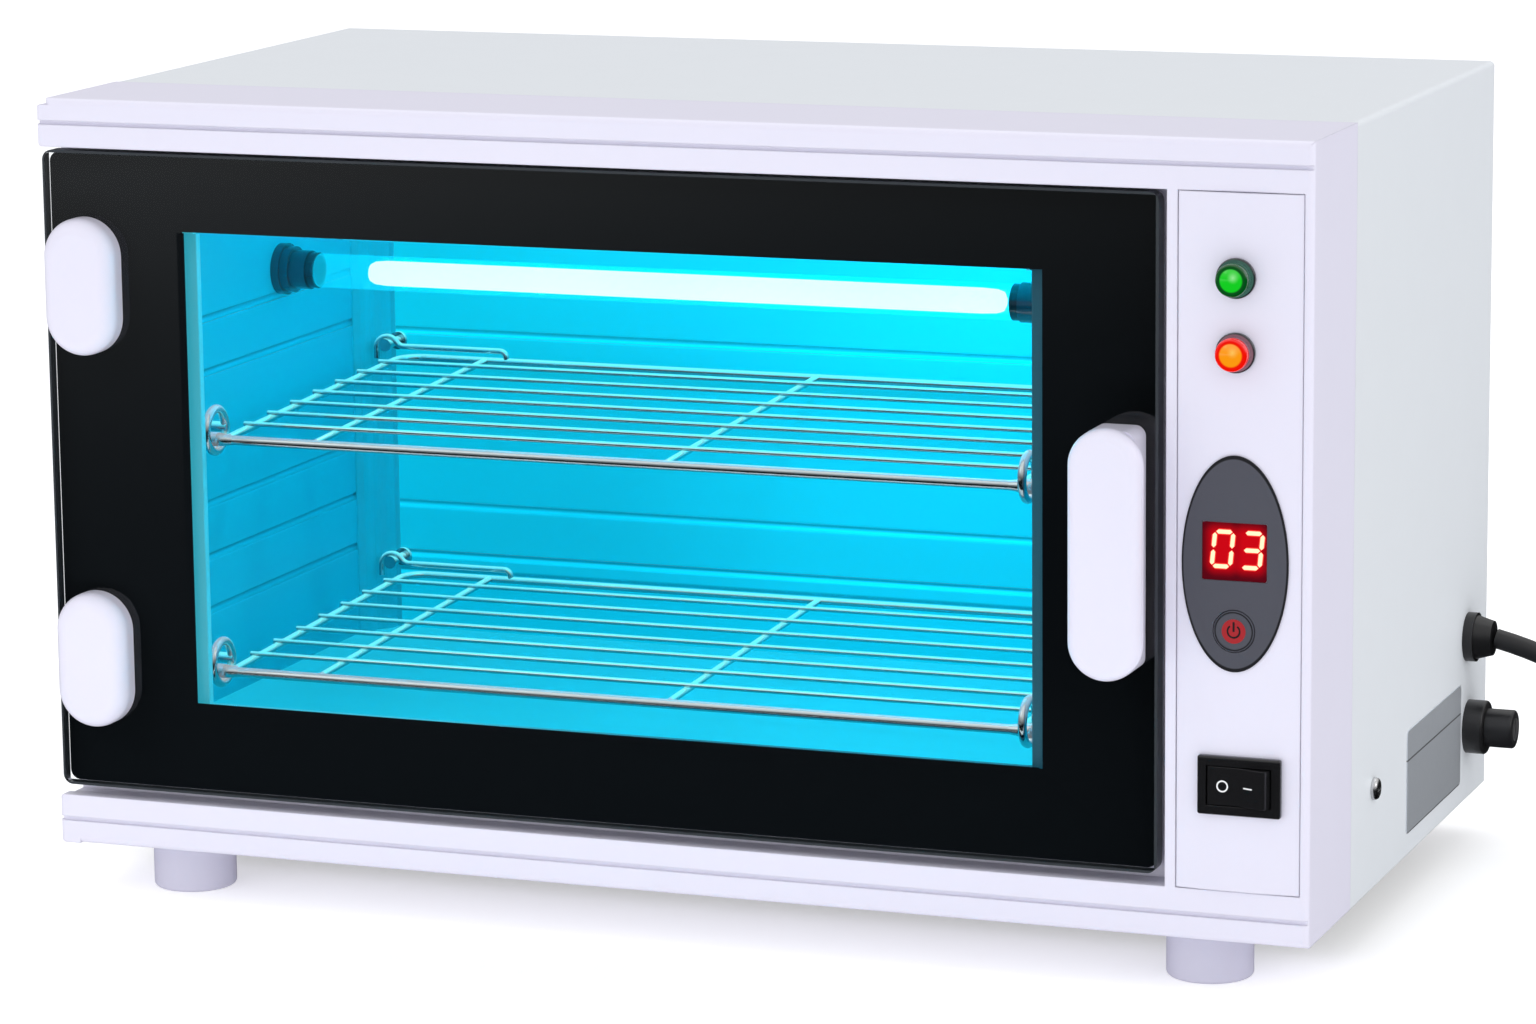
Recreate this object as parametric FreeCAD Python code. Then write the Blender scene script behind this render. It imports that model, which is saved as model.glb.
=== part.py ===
import FreeCAD, Part
import math
import os

# Countertop tool steriliser: a metal cabinet with a moulded front frame, a hinged glass door,
# a lit chamber with two wire shelves, and a control column on the right.  Millimetres.
# Working frame: X from the frame bands' left end, Y back from the bands' front face, Z up from the
# body's underside.  export() shifts each piece to the object's own frame, whose origin is on the
# surface it stands on, at the middle of its footprint box.

V = FreeCAD.Vector
os.makedirs("parts", exist_ok=True)

# ---- body -------------------------------------------------------------------------------------
body_width = 380.0
body_height = 220.5
body_depth = 205.0
bezel_depth = 45.0
side_step = 3.0            # the bands' left ends stand out this far past the body's side
top_band = 14.0
bottom_band = 14.5
band_lip = 4.0             # depth of the lip that stands out at the left
band_edge = 1.8            # rounding of the bezel's front edges
groove_width = 1.2
groove_depth = 0.9
column_width = 40.5
moulding = 2.5             # wall of the plastic mouldings
door_recess = 9.5          # face behind the door, from the bezel's front
spigot_depth = 6.0         # rim of the bezel that slides into the case
sheet = 1.0                # steel sheet of case, base and back

# ---- door -------------------------------------------------------------------------------------
door_overhang = 1.8        # the glass passes the body's left side by this
door_gap_right = 2.5
door_gap_top = 1.0
door_gap_bottom = 3.0
door_setback = 1.0
glass_thickness = 5.0
glass_corner = 3.0
ink_thickness = 0.15
ink_margin = 0.8           # clear edge of glass outside the printed border
border_left = 42.7
border_right = 33.9
border_top = 22.8
border_bottom = 26.3
hinge_inset = 39.0         # hinge middle, from the door's top and from its bottom
hinge_axis_inset = 2.4     # pin axis, from the door's left edge
hinge_axis_gap = 1.7       # pin axis, behind the printed glass
barrel_radius = 1.35
hinge_pin_radius = 0.75
pin_running_gap = 0.05
knuckle_half = 8.5         # half height of the moving knuckle
knuckle_gap = 0.3
fixed_knuckle = 4.6
plate_relief = 0.5         # hinge plates stay this far from the other leaf's knuckles
cover_width = 22.4
cover_height = 40.0
cover_inset = 2.1          # cover's left side, from the door's left edge
cover_thickness = 8.0
cover_round = 4.6
clamp_thickness = 1.2
hinge_leaf = 1.2
leaf_screw_radius = 1.5
leaf_margin = 3.2          # leaf round its screws
clamp_screw_inset = 18.0   # clamp screws, from the door's left edge
clamp_screw_spread = 10.0
clamp_screw_radius = 1.5
screw_hole_gap = 0.1
screw_head_radius = 3.2
screw_head_height = 1.8
screw_dome = 1.2           # rounding of a case screw's head
cross_recess_width = 0.8
cross_recess_depth = 1.0

handle_width = 21.0
handle_height = 69.4
handle_reach = 17.0
grip_thickness = 7.0
grip_round = 3.2
stem_width = 14.3
stem_height = 67.0
stem_corner = 3.0
handle_inset = 10.6        # handle's middle, from the door's right edge
handle_drop = 3.0          # handle's middle, below the door's
handle_screw_spread = 22.0
strike_width = 17.0
strike_height = 54.0
strike_thickness = 1.2
catch_width = 12.0
catch_height = 26.0
catch_depth = 12.0
catch_gap = 0.35

gasket_width = 4.0
gasket_gap = 0.4
gasket_inset = 4.5         # gasket's inner edge, outside the chamber mouth

# ---- chamber ----------------------------------------------------------------------------------
mouth_inset_left = 2.1     # mouth of the chamber, inside the clear window
mouth_inset_right = 4.4
mouth_drop = 1.0           # mouth's bottom, below the clear window
mouth_rise = 1.3
chamber_margin_left = 13.0     # chamber walls, outside the mouth
chamber_margin_right = 12.0
chamber_margin_below = 6.3
chamber_margin_above = 12.0
rear_space = 49.0          # between the chamber's back and the back panel
liner = 0.8
bead_radius = 1.2          # half width of a pressed bead, seen from inside
bead_pitch = 16.0
bead_first_low = 28.0      # lowest bead above the chamber floor
bead_first_high = 99.3     # first of the upper beads above the floor
bead_end = 9.0             # beads stop this far from the corners

shelf_left_gap = 15.0      # shelf's left side bar, from the chamber wall
shelf_right_gap = 19.0
shelf_front = 20.0         # front bar's axis, from the bezel's front
shelf_back_gap = 8.5
shelf_rise = 4.9           # a shelf's back bar lies this much above its front bar
lower_shelf_height = 14.1  # front bar's axis above the chamber floor
upper_shelf_share = 0.6355 # of the height from the lower shelf to the lamp
front_bar_radius = 1.4
bar_end_radius = 2.1
bar_end_length = 8.0
bar_overhang = 2.4         # shelf bars pass their eyes by this
frame_bar_radius = 1.1     # side and back bars, one wire with rounded corners
frame_corner = 7.0
cross_bar_radius = 1.0
rod_radius = 0.7
rod_count = 7
weld = 0.3                 # how far welded wires sink into each other
cross_bar_places = (0.115, 0.565)  # share of the shelf's width, from its left side bar
hook_radius = 0.9          # wire hooks that hang the shelf's back on two pegs
hook_arch = 3.8            # radius of the arch over a peg
hook_start = 5.3           # arch's middle, outside the side bar
hook_lift = 3.2            # hook's level run above the back bar
hook_arch_lift = 2.3       # arch's centre above the back bar
hook_length = 35.0         # from the side bar to where the hook joins the back bar
hook_bend = 2.0
peg_radius = 1.4
peg_head_radius = 2.0
peg_head = 0.8
peg_foot_radius = 2.8
peg_foot = 1.2
peg_reach = 11.0           # from the chamber's back
peg_clearance = 0.1
eye_radius = 6.2
eye_wire = 1.3
eye_side_gap = 0.3         # between an eye and the shelf's side bar
eye_stem_radius = 1.5
eye_foot_radius = 4.0
eye_foot = 1.5
eye_clearance = 0.1

# ---- lamp -------------------------------------------------------------------------------------
lamp_from_back = 63.0      # axis, from the chamber's back
lamp_drop = 36.5           # axis, below the chamber's ceiling
tube_radius = 5.2
bracket_reach = 31.3       # right lampholder's foot, from the chamber's right wall
cap_radius = 4.9
cap_ring_radius = 5.4
cap_ring = 2.3
cap_length = 6.5
contact_pin_radius = 0.8
contact_pin_length = 2.0
contact_pin_spread = 2.2
holder_flange_radius = 7.8
holder_flange = 2.5
holder_boss_radius = 7.0
holder_boss = 2.5
holder_cup_radius = 5.9
holder_cup = 5.2
lamp_fit = 0.2             # running gap round the caps
bracket_sheet = 1.2
bracket_width = 20.0
bracket_drop = 14.0

# ---- control column ---------------------------------------------------------------------------
panel_inset_left = 3.2     # panel's edge from the column's left face
panel_inset_right = 2.6
panel_gap = 0.2
panel_thickness = 2.0
panel_crown = 0.6          # the panel's middle stands this far in front of the bezel
panel_ledge = 3.0
controls_offset = 1.05     # controls' middle, left of the panel's middle
overlay_width = 29.8
overlay_height = 59.4
overlay_drop = 4.55        # oval's middle, below the body's middle
overlay_thickness = 0.5
display_width = 18.1
display_height = 16.0
display_rise = 3.4         # display's middle, above the oval's
display_depth = 8.0
button_drop = 18.4         # button, below the oval's middle
button_radius = 5.7
button_gap = 0.25
button_flange = 0.9
button_travel = 0.6
pilot_drop = 37.1          # upper pilot lamp, below the body's top
pilot_pitch = 20.1
pilot_flange_radius = 5.5
pilot_flange = 1.2
pilot_lens_radius = 4.5
pilot_protrusion = 5.4
pilot_rim = 0.7            # rounding of a lens's front edge
pilot_dome_radius = 3.1
pilot_dome = 0.7
pilot_body_radius = 4.0
pilot_body_length = 12.0
pilot_nut_radius = 6.0
pilot_nut = 2.5
board_thickness = 1.6
board_width = 28.0
switch_width = 23.4
switch_height = 16.4
switch_middle = 44.4
switch_offset = 1.8        # switch's middle, right of the controls' middle
switch_flange = 1.6
switch_wall = 1.2
switch_body_depth = 18.0
rocker_radius = 8.9
rocker_gap = 0.25
rocker_height = 10.6
rocker_tilt = 18.0         # degrees between the two positions
rocker_pivot_depth = 0.3   # pivot behind the panel's crown
trunnion_radius = 1.2
tab_width = 4.8
tab_thickness = 0.8
tab_length = 8.0

# ---- right side -------------------------------------------------------------------------------
entry_from_back = 24.0
entry_z = 50.0
grommet_flange_radius = 7.4
grommet_flange = 3.0
grommet_nose_radius = 5.2
grommet_length = 8.0
grommet_barrel_radius = 6.2
grommet_barrel = 12.0
fuse_from_back = 22.0
fuse_z = 22.0
fuse_flange_radius = 8.1
fuse_flange = 6.0
fuse_cap_radius = 5.8
fuse_cap_length = 8.5
fuse_barrel_radius = 6.4
fuse_barrel_bore = 3.6
fuse_barrel_length = 30.0
fuse_link_radius = 2.6
fuse_link_length = 20.0
fuse_nut_radius = 9.0
fuse_nut = 3.0
plate_length = 65.0
plate_height = 30.5
plate_back_margin = 32.5
plate_bottom = 6.5
plate_thickness = 0.3
side_screw_y = 69.5
side_screw_z = 29.0
tray_wall = 38.0

# ---- stand and inside -------------------------------------------------------------------------
foot_radius = 12.2
foot_height = 15.0
foot_edge = 1.2
foot_inset_side = 33.5
foot_inset_front = 21.0
foot_inset_back = 24.0
foot_recess_radius = 4.5
foot_recess = 8.0
foot_screw_radius = 2.0
nut_radius = 4.0
nut_height = 3.2
ballast_width = 34.0
ballast_height = 30.0
ballast_ear = 7.0
ballast_foot_gap = 11.0    # between the ballast's rear ear and the rear foot's nut
ballast_setback = 24.0     # behind the bezel's rim
ballast_gap = 6.0          # beside the chamber's liner
ballast_lead = 5.0         # lead's place on the ballast, from its front end
block_size = (14.0, 46.0, 12.0)
block_setback = 50.0
block_gap = 6.0
terminal_count = 6
terminal_inset = 5.0
terminal_radius = 2.0
terminal_depth = 4.0
post_height = 3.0
loom_radius = 1.2
loom_gap = 0.1             # between a lead's end and what it feeds
loom_exit = 9.0            # straight runs off a face
loom_straight = 14.0
loom_bend = 6.0
loom_lean = 2.5
loom_rise = 13.0           # leads' bends above the terminal block
loom_hump = 17.0
loom_run = 11.0
loom_board_rise = 8.7      # lead's place on the board, above the button
switch_tab_pitch = 6.0

# ---- cord -------------------------------------------------------------------------------------
cord_radius = 3.0
# the cord's route in the object's own frame, from the grommet's nose to the coil
cord_route = [
    (191.45, 85.6, 65.0), (207.0, 85.8, 61.3), (220.5, 87.0, 51.5), (229.5, 89.3, 38.0),
    (239.0, 93.5, 25.5), (251.0, 100.5, 14.0), (265.0, 110.0, 6.0), (279.5, 121.5, 3.05),
    (292.0, 135.0, 3.05),
]
coil_radius = 35.0         # middle of the turns
coil_band = 24.0           # width over the turns that lie side by side
coil_height = 12.0
plug_body = (30.0, 19.0, 15.0)
plug_neck_radius = 4.2
plug_neck = 12.0
plug_blade = (16.0, 6.3, 1.5)
plug_blade_spread = 12.7


# ---- derived places ---------------------------------------------------------------------------
body_left = side_step
column_left = body_width - column_width
recess_bottom = bottom_band
recess_top = body_height - top_band
face_back = door_recess + moulding
back_inner = body_depth - sheet

door_left = body_left - door_overhang
door_right = column_left - door_gap_right
door_bottom = recess_bottom + door_gap_bottom
door_top = recess_top - door_gap_top
glass_front = door_setback
glass_back = glass_front + glass_thickness
ink_back = glass_back + ink_thickness
window_left = door_left + border_left
window_right = door_right - border_right
window_bottom = door_bottom + border_bottom
window_top = door_top - border_top

mouth_left = window_left + mouth_inset_left
mouth_right = window_right - mouth_inset_right
mouth_bottom = window_bottom - mouth_drop
mouth_top = window_top + mouth_rise
chamber_left = mouth_left - chamber_margin_left
chamber_right = mouth_right + chamber_margin_right
chamber_bottom = mouth_bottom - chamber_margin_below
chamber_top = mouth_top + chamber_margin_above
chamber_back = back_inner - rear_space

axis_x = door_left + hinge_axis_inset
axis_y = ink_back + hinge_axis_gap
hinge_heights = (door_top - hinge_inset, door_bottom + hinge_inset)
hinge_half = knuckle_half + knuckle_gap + fixed_knuckle
knuckle_side = axis_x + barrel_radius + plate_relief
leaf_screw_x = knuckle_side + leaf_margin
leaf_screw_spread = hinge_half / 2
cover_x = door_left + cover_inset + cover_width / 2
clamp_back = ink_back + clamp_thickness
leaf_front = door_recess - hinge_leaf
screw_x = door_left + clamp_screw_inset
handle_x = door_right - handle_inset
handle_middle = (door_bottom + door_top) / 2 - handle_drop
handle_front = glass_front - handle_reach
strike_back = ink_back + strike_thickness

panel_left = column_left + panel_inset_left
panel_right = body_width - panel_inset_right
panel_x = (panel_left + panel_right) / 2
controls_x = panel_x - controls_offset
panel_bottom = recess_bottom
panel_top = recess_top
panel_back = panel_thickness
crown_y = -panel_crown
overlay_middle = body_height / 2 - overlay_drop
display_middle = overlay_middle + display_rise
button_middle = overlay_middle - button_drop
pilot_green_height = body_height - pilot_drop
pilot_orange_height = pilot_green_height - pilot_pitch

lamp_y = chamber_back - lamp_from_back
lamp_z = chamber_top - lamp_drop
lower_z = chamber_bottom + lower_shelf_height
upper_z = lower_z + (lamp_z - lower_z) * upper_shelf_share
shelf_x0 = chamber_left + shelf_left_gap
shelf_x1 = chamber_right - shelf_right_gap
shelf_back = chamber_back - shelf_back_gap
eye_offset = frame_bar_radius + eye_wire + eye_side_gap  # eyes, outside the side bars

case_inner_left = body_left + sheet
case_inner_right = body_width - sheet
entry_y = body_depth - entry_from_back
fuse_y = body_depth - fuse_from_back
rear_face = body_depth + screw_head_height
coil_outer = coil_radius + coil_band / 2
coil_turn = coil_outer - cord_radius
side_face = body_width + fuse_flange + fuse_cap_length

# the object's own frame: middle of the footprint box, on the standing surface
shift = V(-side_face / 2, -(handle_front + rear_face) / 2, foot_height)


# ---- helpers ----------------------------------------------------------------------------------
def box(x0, x1, y0, y1, z0, z1):
    return Part.makeBox(x1 - x0, y1 - y0, z1 - z0, V(x0, y0, z0))


def rod_x(x0, x1, y, z, r):
    return Part.makeCylinder(r, x1 - x0, V(x0, y, z), V(1, 0, 0))


def rod_y(x, y0, y1, z, r):
    return Part.makeCylinder(r, y1 - y0, V(x, y0, z), V(0, 1, 0))


def rod_z(x, y, z0, z1, r):
    return Part.makeCylinder(r, z1 - z0, V(x, y, z0), V(0, 0, 1))


def fillet_where(shape, radius, test):
    """Round the edges whose middle point and direction pass the test."""
    chosen = []
    for edge in shape.Edges:
        middle = edge.CenterOfMass
        if test(middle, edge):
            chosen.append(edge)
    return shape.makeFillet(radius, chosen)


def near(a, b):
    return abs(a - b) < 1e-4


def rounded_plate(x0, x1, y0, y1, z0, z1, r):
    """A plate facing Y whose four corners are rounded with radius r."""
    plate = box(x0, x1, y0, y1, z0, z1)
    return fillet_where(plate, r, lambda m, e: near(m.y, (y0 + y1) / 2))


def pill(x, z, width, height, y0, y1):
    """A plate facing Y with fully round ends, taller than wide."""
    r = width / 2
    half = height / 2 - r
    body = box(x - r, x + r, y0, y1, z - half, z + half)
    ends = [rod_y(x, y0, y1, z + half, r), rod_y(x, y0, y1, z - half, r)]
    return body.multiFuse(ends).removeSplitter()


def hexagon_y(x, z, y0, y1, r):
    points = [V(x + r * math.cos(math.radians(60 * i)), y0, z + r * math.sin(math.radians(60 * i)))
              for i in range(7)]
    return Part.Face(Part.makePolygon(points)).extrude(V(0, y1 - y0, 0))


def hexagon_x(y, z, x0, x1, r):
    points = [V(x0, y + r * math.cos(math.radians(60 * i)), z + r * math.sin(math.radians(60 * i)))
              for i in range(7)]
    return Part.Face(Part.makePolygon(points)).extrude(V(x1 - x0, 0, 0))


def hexagon_z(x, y, z0, z1, r):
    points = [V(x + r * math.cos(math.radians(60 * i)), y + r * math.sin(math.radians(60 * i)), z0)
              for i in range(7)]
    return Part.Face(Part.makePolygon(points)).extrude(V(0, 0, z1 - z0))


def frame_y(x0, x1, z0, z1, width, y0, y1):
    """A rectangular ring facing Y; x0, x1, z0, z1 are its inner edges."""
    outer = box(x0 - width, x1 + width, y0, y1, z0 - width, z1 + width)
    return outer.cut(box(x0, x1, y0 - 1, y1 + 1, z0, z1))


def capsule(start, end, r):
    """A round bar with ball ends."""
    axis = end - start
    bar = Part.makeCylinder(r, axis.Length, start, axis)
    return bar.multiFuse([Part.makeSphere(r, start), Part.makeSphere(r, end)])


def tube(points, radius, name=None):
    """A round tube along straight runs joined by tangent arcs, each as large as its runs allow."""
    points = [V(*p) for p in points]
    edges = []
    radii = []
    start = points[0]
    for before, corner, after in zip(points, points[1:], points[2:]):
        into = (corner - before).normalize()
        out = (after - corner).normalize()
        turn = into.getAngle(out)
        reach = 0.45 * min((corner - before).Length, (after - corner).Length)
        radii.append(reach / math.tan(turn / 2))
        first = corner - into * reach
        last = corner + out * reach
        bow = (first + last) * 0.5 - corner
        depth = radii[-1] / math.cos(turn / 2) - radii[-1]
        middle = corner + bow.normalize() * depth
        edges.append(Part.LineSegment(start, first).toShape())
        edges.append(Part.Arc(first, middle, last).toShape())
        start = last
    edges.append(Part.LineSegment(start, points[-1]).toShape())
    path = Part.Wire(edges)
    section = Part.Wire(Part.Circle(points[0], points[1] - points[0], radius).toShape())
    solid = path.makePipeShell([section], True, False)
    if name:
        expected = math.pi * radius ** 2 * path.Length
        print(name, "length", round(path.Length, 1), "radii", [round(r, 1) for r in radii],
              "volume over section times length", round(solid.Volume / expected, 4))
    return solid


def export(name, shape, own_frame=False):
    placed = shape.copy()
    if not own_frame:
        placed.translate(shift)
    placed.exportStep("parts/" + name + ".step")


def group(shapes):
    return Part.makeCompound(shapes)


# ---- front frame ------------------------------------------------------------------------------
def front_edges(middle, edge):
    """Edges round the bezel's front face, and the two long right-hand ones."""
    return near(middle.y, 0)


def band_lips():
    """The ends of the two bands, which stand out past the body's left side."""
    lips = []
    for z0, z1 in ((recess_top, body_height - band_edge), (0.0, recess_bottom)):
        lip = box(0, body_left + 2 * band_edge, 0, band_lip, z0, z1)
        lips.append(fillet_where(lip, band_edge, lambda m, e: near(m.x, 0)))
    return lips


def band_grooves():
    """One rounded groove along the middle of each band, round its left end too."""
    cuts = []
    for z in ((recess_top + body_height) / 2, recess_bottom / 2):
        cuts.append(box(-1, body_width + 1, -1, groove_depth, z - groove_width / 2, z + groove_width / 2))
        cuts.append(box(-1, groove_depth, -1, band_lip + 1, z - groove_width / 2, z + groove_width / 2))
    return cuts


def leaf_screw_places():
    return [(leaf_screw_x, z + dz) for z in hinge_heights for dz in (-leaf_screw_spread, leaf_screw_spread)]


def hinge_bosses():
    return [rod_y(x, door_recess + 0.5, door_recess + 8.0, z, leaf_margin) for x, z in leaf_screw_places()]


def front_bezel():
    shell = box(body_left, body_width, 0, bezel_depth, 0, body_height)
    shell = fillet_where(shell, band_edge, front_edges)
    shell = shell.multiFuse(band_lips())
    top_rim = body_height - sheet
    spigot = box(case_inner_left, case_inner_right, bezel_depth - 1, bezel_depth + spigot_depth,
                 sheet, top_rim)
    shell = shell.fuse(spigot)
    hollow = box(body_left + moulding, body_width - moulding, face_back, bezel_depth + spigot_depth + 1,
                 moulding, body_height - moulding)
    below_spigot = box(body_left, body_width, bezel_depth, bezel_depth + spigot_depth + 1, 0, moulding)
    recess = box(-1, column_left, -1, door_recess, recess_bottom, recess_top)
    mouth = box(mouth_left, mouth_right, door_recess - 1, face_back + 1, mouth_bottom, mouth_top)
    seat = box(panel_left - panel_gap, panel_right + panel_gap, -1, panel_back,
               panel_bottom, panel_top)
    column_hollow = box(panel_left + panel_ledge, panel_right - panel_ledge, panel_back - 1,
                        bezel_depth, panel_bottom + panel_ledge, panel_top - panel_ledge)
    column_room = box(column_left + moulding, body_width - moulding, panel_back + moulding, face_back + 1,
                      moulding, body_height - moulding)
    top_room = box(body_left + moulding, column_left + moulding + 1, moulding, face_back + 1,
                   recess_top + moulding, body_height - moulding)
    bottom_room = box(body_left + moulding, column_left + moulding + 1, moulding, face_back + 1,
                      moulding, recess_bottom - moulding)
    catch_hole = box(handle_x - catch_width / 2 - screw_hole_gap,
                     handle_x + catch_width / 2 + screw_hole_gap,
                     door_recess - 1, face_back + 1,
                     handle_middle - catch_height / 2 - screw_hole_gap,
                     handle_middle + catch_height / 2 + screw_hole_gap)
    shell = shell.cut([hollow, below_spigot, recess, mouth, seat, column_hollow, column_room,
                       top_room, bottom_room, catch_hole] + band_grooves())
    shell = shell.multiFuse(hinge_bosses())
    holes = [rod_y(x, door_recess - 1, door_recess + 6.5, z, leaf_screw_radius)
             for x, z in leaf_screw_places()]
    holes += [rod_z(x, y, -1, moulding + 1, foot_screw_radius + screw_hole_gap)
              for x, y in foot_places() if y < bezel_depth]
    return shell.cut(holes).removeSplitter()


# ---- door -------------------------------------------------------------------------------------
def door_outline(y0, y1, margin):
    """The door's plate with its rounded corners."""
    return rounded_plate(door_left + margin, door_right - margin, y0, y1,
                         door_bottom + margin, door_top - margin, glass_corner)


def door_holes(y0, y1):
    """Clearance holes for the hinge screws and the handle screws."""
    r = clamp_screw_radius + 0.5
    places = [(screw_x, z + dz) for z in hinge_heights for dz in (-clamp_screw_spread, clamp_screw_spread)]
    places += [(handle_x, handle_middle + dz) for dz in (-handle_screw_spread, handle_screw_spread)]
    return [rod_y(x, y0 - 1, y1 + 1, z, r) for x, z in places]


def door_glass():
    return door_outline(glass_front, glass_back, 0).cut(door_holes(glass_front, glass_back))


def door_border():
    ink = door_outline(glass_back, ink_back, ink_margin)
    window = box(window_left, window_right, glass_back - 1, ink_back + 1, window_bottom, window_top)
    return ink.cut([window] + door_holes(glass_back, ink_back))


def hinge_cover(z):
    cover = pill(cover_x, z, cover_width, cover_height, glass_front - cover_thickness, glass_front)
    cover = fillet_where(cover, cover_round, lambda m, e: near(m.y, glass_front - cover_thickness))
    holes = [rod_y(screw_x, glass_front - cover_thickness / 2, glass_front + 1, z + dz,
                   clamp_screw_radius + screw_hole_gap)
             for dz in (-clamp_screw_spread, clamp_screw_spread)]
    return cover.cut(holes)


def hinge_clamp(z):
    """The plate behind the glass, with the knuckle that turns on the pin."""
    plate_right = door_left + cover_inset + cover_width - 1.0
    plate_half = cover_height / 2 - 3.0
    plate = rounded_plate(knuckle_side, plate_right, ink_back, clamp_back,
                          z - plate_half, z + plate_half, 2.0)
    tongue = box(axis_x, knuckle_side + 1, ink_back, clamp_back, z - knuckle_half, z + knuckle_half)
    barrel = rod_z(axis_x, axis_y, z - knuckle_half, z + knuckle_half, barrel_radius)
    clamp = plate.multiFuse([tongue, barrel])
    bore = rod_z(axis_x, axis_y, z - knuckle_half - 1, z + knuckle_half + 1,
                 hinge_pin_radius + pin_running_gap)
    holes = [rod_y(screw_x, ink_back - 1, clamp_back + 1, z + dz, clamp_screw_radius + screw_hole_gap)
             for dz in (-clamp_screw_spread, clamp_screw_spread)]
    return clamp.cut([bore] + holes).removeSplitter()


def hinge_bracket(z):
    """The fixed leaf on the frame's face, with a knuckle above and below the moving one."""
    leaf = box(body_left + 0.4, leaf_screw_x + leaf_margin, leaf_front, door_recess,
               z - hinge_half, z + hinge_half)
    free = knuckle_half + knuckle_gap
    room = box(body_left - 1, knuckle_side, leaf_front - 1, door_recess + 1, z - free, z + free)
    knuckles = [rod_z(axis_x, axis_y, z0, z0 + fixed_knuckle, barrel_radius)
                for z0 in (z + free, z - hinge_half)]
    bracket = leaf.cut(room).multiFuse(knuckles)
    cuts = [rod_z(axis_x, axis_y, z - hinge_half - 1, z + hinge_half + 1, hinge_pin_radius)]
    for dz in (-leaf_screw_spread, leaf_screw_spread):
        cuts.append(rod_y(leaf_screw_x, leaf_front - 1, door_recess + 1, z + dz,
                          leaf_screw_radius + screw_hole_gap))
        cuts.append(rod_y(leaf_screw_x, leaf_front - 1, leaf_front + 0.8, z + dz, 2.5))
    return bracket.cut(cuts).removeSplitter()


def hinge_pins():
    return group([rod_z(axis_x, axis_y, z - hinge_half, z + hinge_half, hinge_pin_radius)
                  for z in hinge_heights])


def door_screws():
    """Screws from the clamp plates into the hinge covers, with low heads."""
    head = min(screw_head_height, door_recess - clamp_back - 0.6)
    screws = []
    for z in hinge_heights:
        for dz in (-clamp_screw_spread, clamp_screw_spread):
            shank = rod_y(screw_x, glass_front - cover_thickness / 2 + 0.5, clamp_back, z + dz,
                          clamp_screw_radius)
            top = rod_y(screw_x, clamp_back, clamp_back + head, z + dz, 2.7)
            screws.append(shank.fuse(top))
    return group(screws)


def frame_screws():
    """Flat-headed screws that hold the fixed leaves to the frame."""
    screws = []
    for x, z in leaf_screw_places():
        shank = rod_y(x, leaf_front + 0.3, door_recess + 6.0, z, leaf_screw_radius)
        top = rod_y(x, leaf_front + 0.05, leaf_front + 0.8, z, 2.4)
        screws.append(shank.fuse(top))
    return group(screws)


def door_handle():
    grip = pill(handle_x, handle_middle, handle_width, handle_height, handle_front,
                handle_front + grip_thickness)
    grip = fillet_where(grip, grip_round, lambda m, e: near(m.y, handle_front)
                        or near(m.y, handle_front + grip_thickness))
    stem = rounded_plate(handle_x - stem_width / 2, handle_x + stem_width / 2,
                         handle_front + grip_thickness - 1, glass_front,
                         handle_middle - stem_height / 2, handle_middle + stem_height / 2, stem_corner)
    holes = [rod_y(handle_x, glass_front - 9, glass_front + 1, handle_middle + dz,
                   clamp_screw_radius + screw_hole_gap)
             for dz in (-handle_screw_spread, handle_screw_spread)]
    return grip.fuse(stem).cut(holes).removeSplitter()


def strike_plate():
    plate = rounded_plate(handle_x - strike_width / 2, handle_x + strike_width / 2, ink_back, strike_back,
                          handle_middle - strike_height / 2, handle_middle + strike_height / 2, 2.0)
    holes = [rod_y(handle_x, ink_back - 1, strike_back + 1, handle_middle + dz,
                   clamp_screw_radius + screw_hole_gap)
             for dz in (-handle_screw_spread, handle_screw_spread)]
    return plate.cut(holes)


def handle_screws():
    head = min(screw_head_height, door_recess - strike_back - 0.6)
    screws = []
    for dz in (-handle_screw_spread, handle_screw_spread):
        shank = rod_y(handle_x, glass_front - 8, strike_back, handle_middle + dz, clamp_screw_radius)
        top = rod_y(handle_x, strike_back, strike_back + head, handle_middle + dz, 2.7)
        screws.append(shank.fuse(top))
    return group(screws)


def magnet_catch():
    """A magnet block whose flange sits behind the frame's face and whose nose meets the strike."""
    nose_front = strike_back + catch_gap
    nose = box(handle_x - catch_width / 2, handle_x + catch_width / 2, nose_front, nose_front + catch_depth,
               handle_middle - catch_height / 2, handle_middle + catch_height / 2)
    flange = box(handle_x - catch_width / 2 - 2.0, handle_x + catch_width / 2 + 2.0,
                 face_back, face_back + 2.0,
                 handle_middle - catch_height / 2 - 4.0, handle_middle + catch_height / 2 + 4.0)
    return nose.fuse(flange).removeSplitter()


def door_gasket():
    front = ink_back + gasket_gap
    ring = frame_y(mouth_left - gasket_inset, mouth_right + gasket_inset, mouth_bottom - gasket_inset,
                   mouth_top + gasket_inset, gasket_width, front, door_recess)
    return fillet_where(ring, 1.0, lambda m, e: near(m.y, front))


# ---- chamber ----------------------------------------------------------------------------------
def side_bead_heights():
    low = [chamber_bottom + bead_first_low + i * bead_pitch for i in range(3)]
    high = [chamber_bottom + bead_first_high + i * bead_pitch for i in range(2)]
    return low + high


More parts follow.
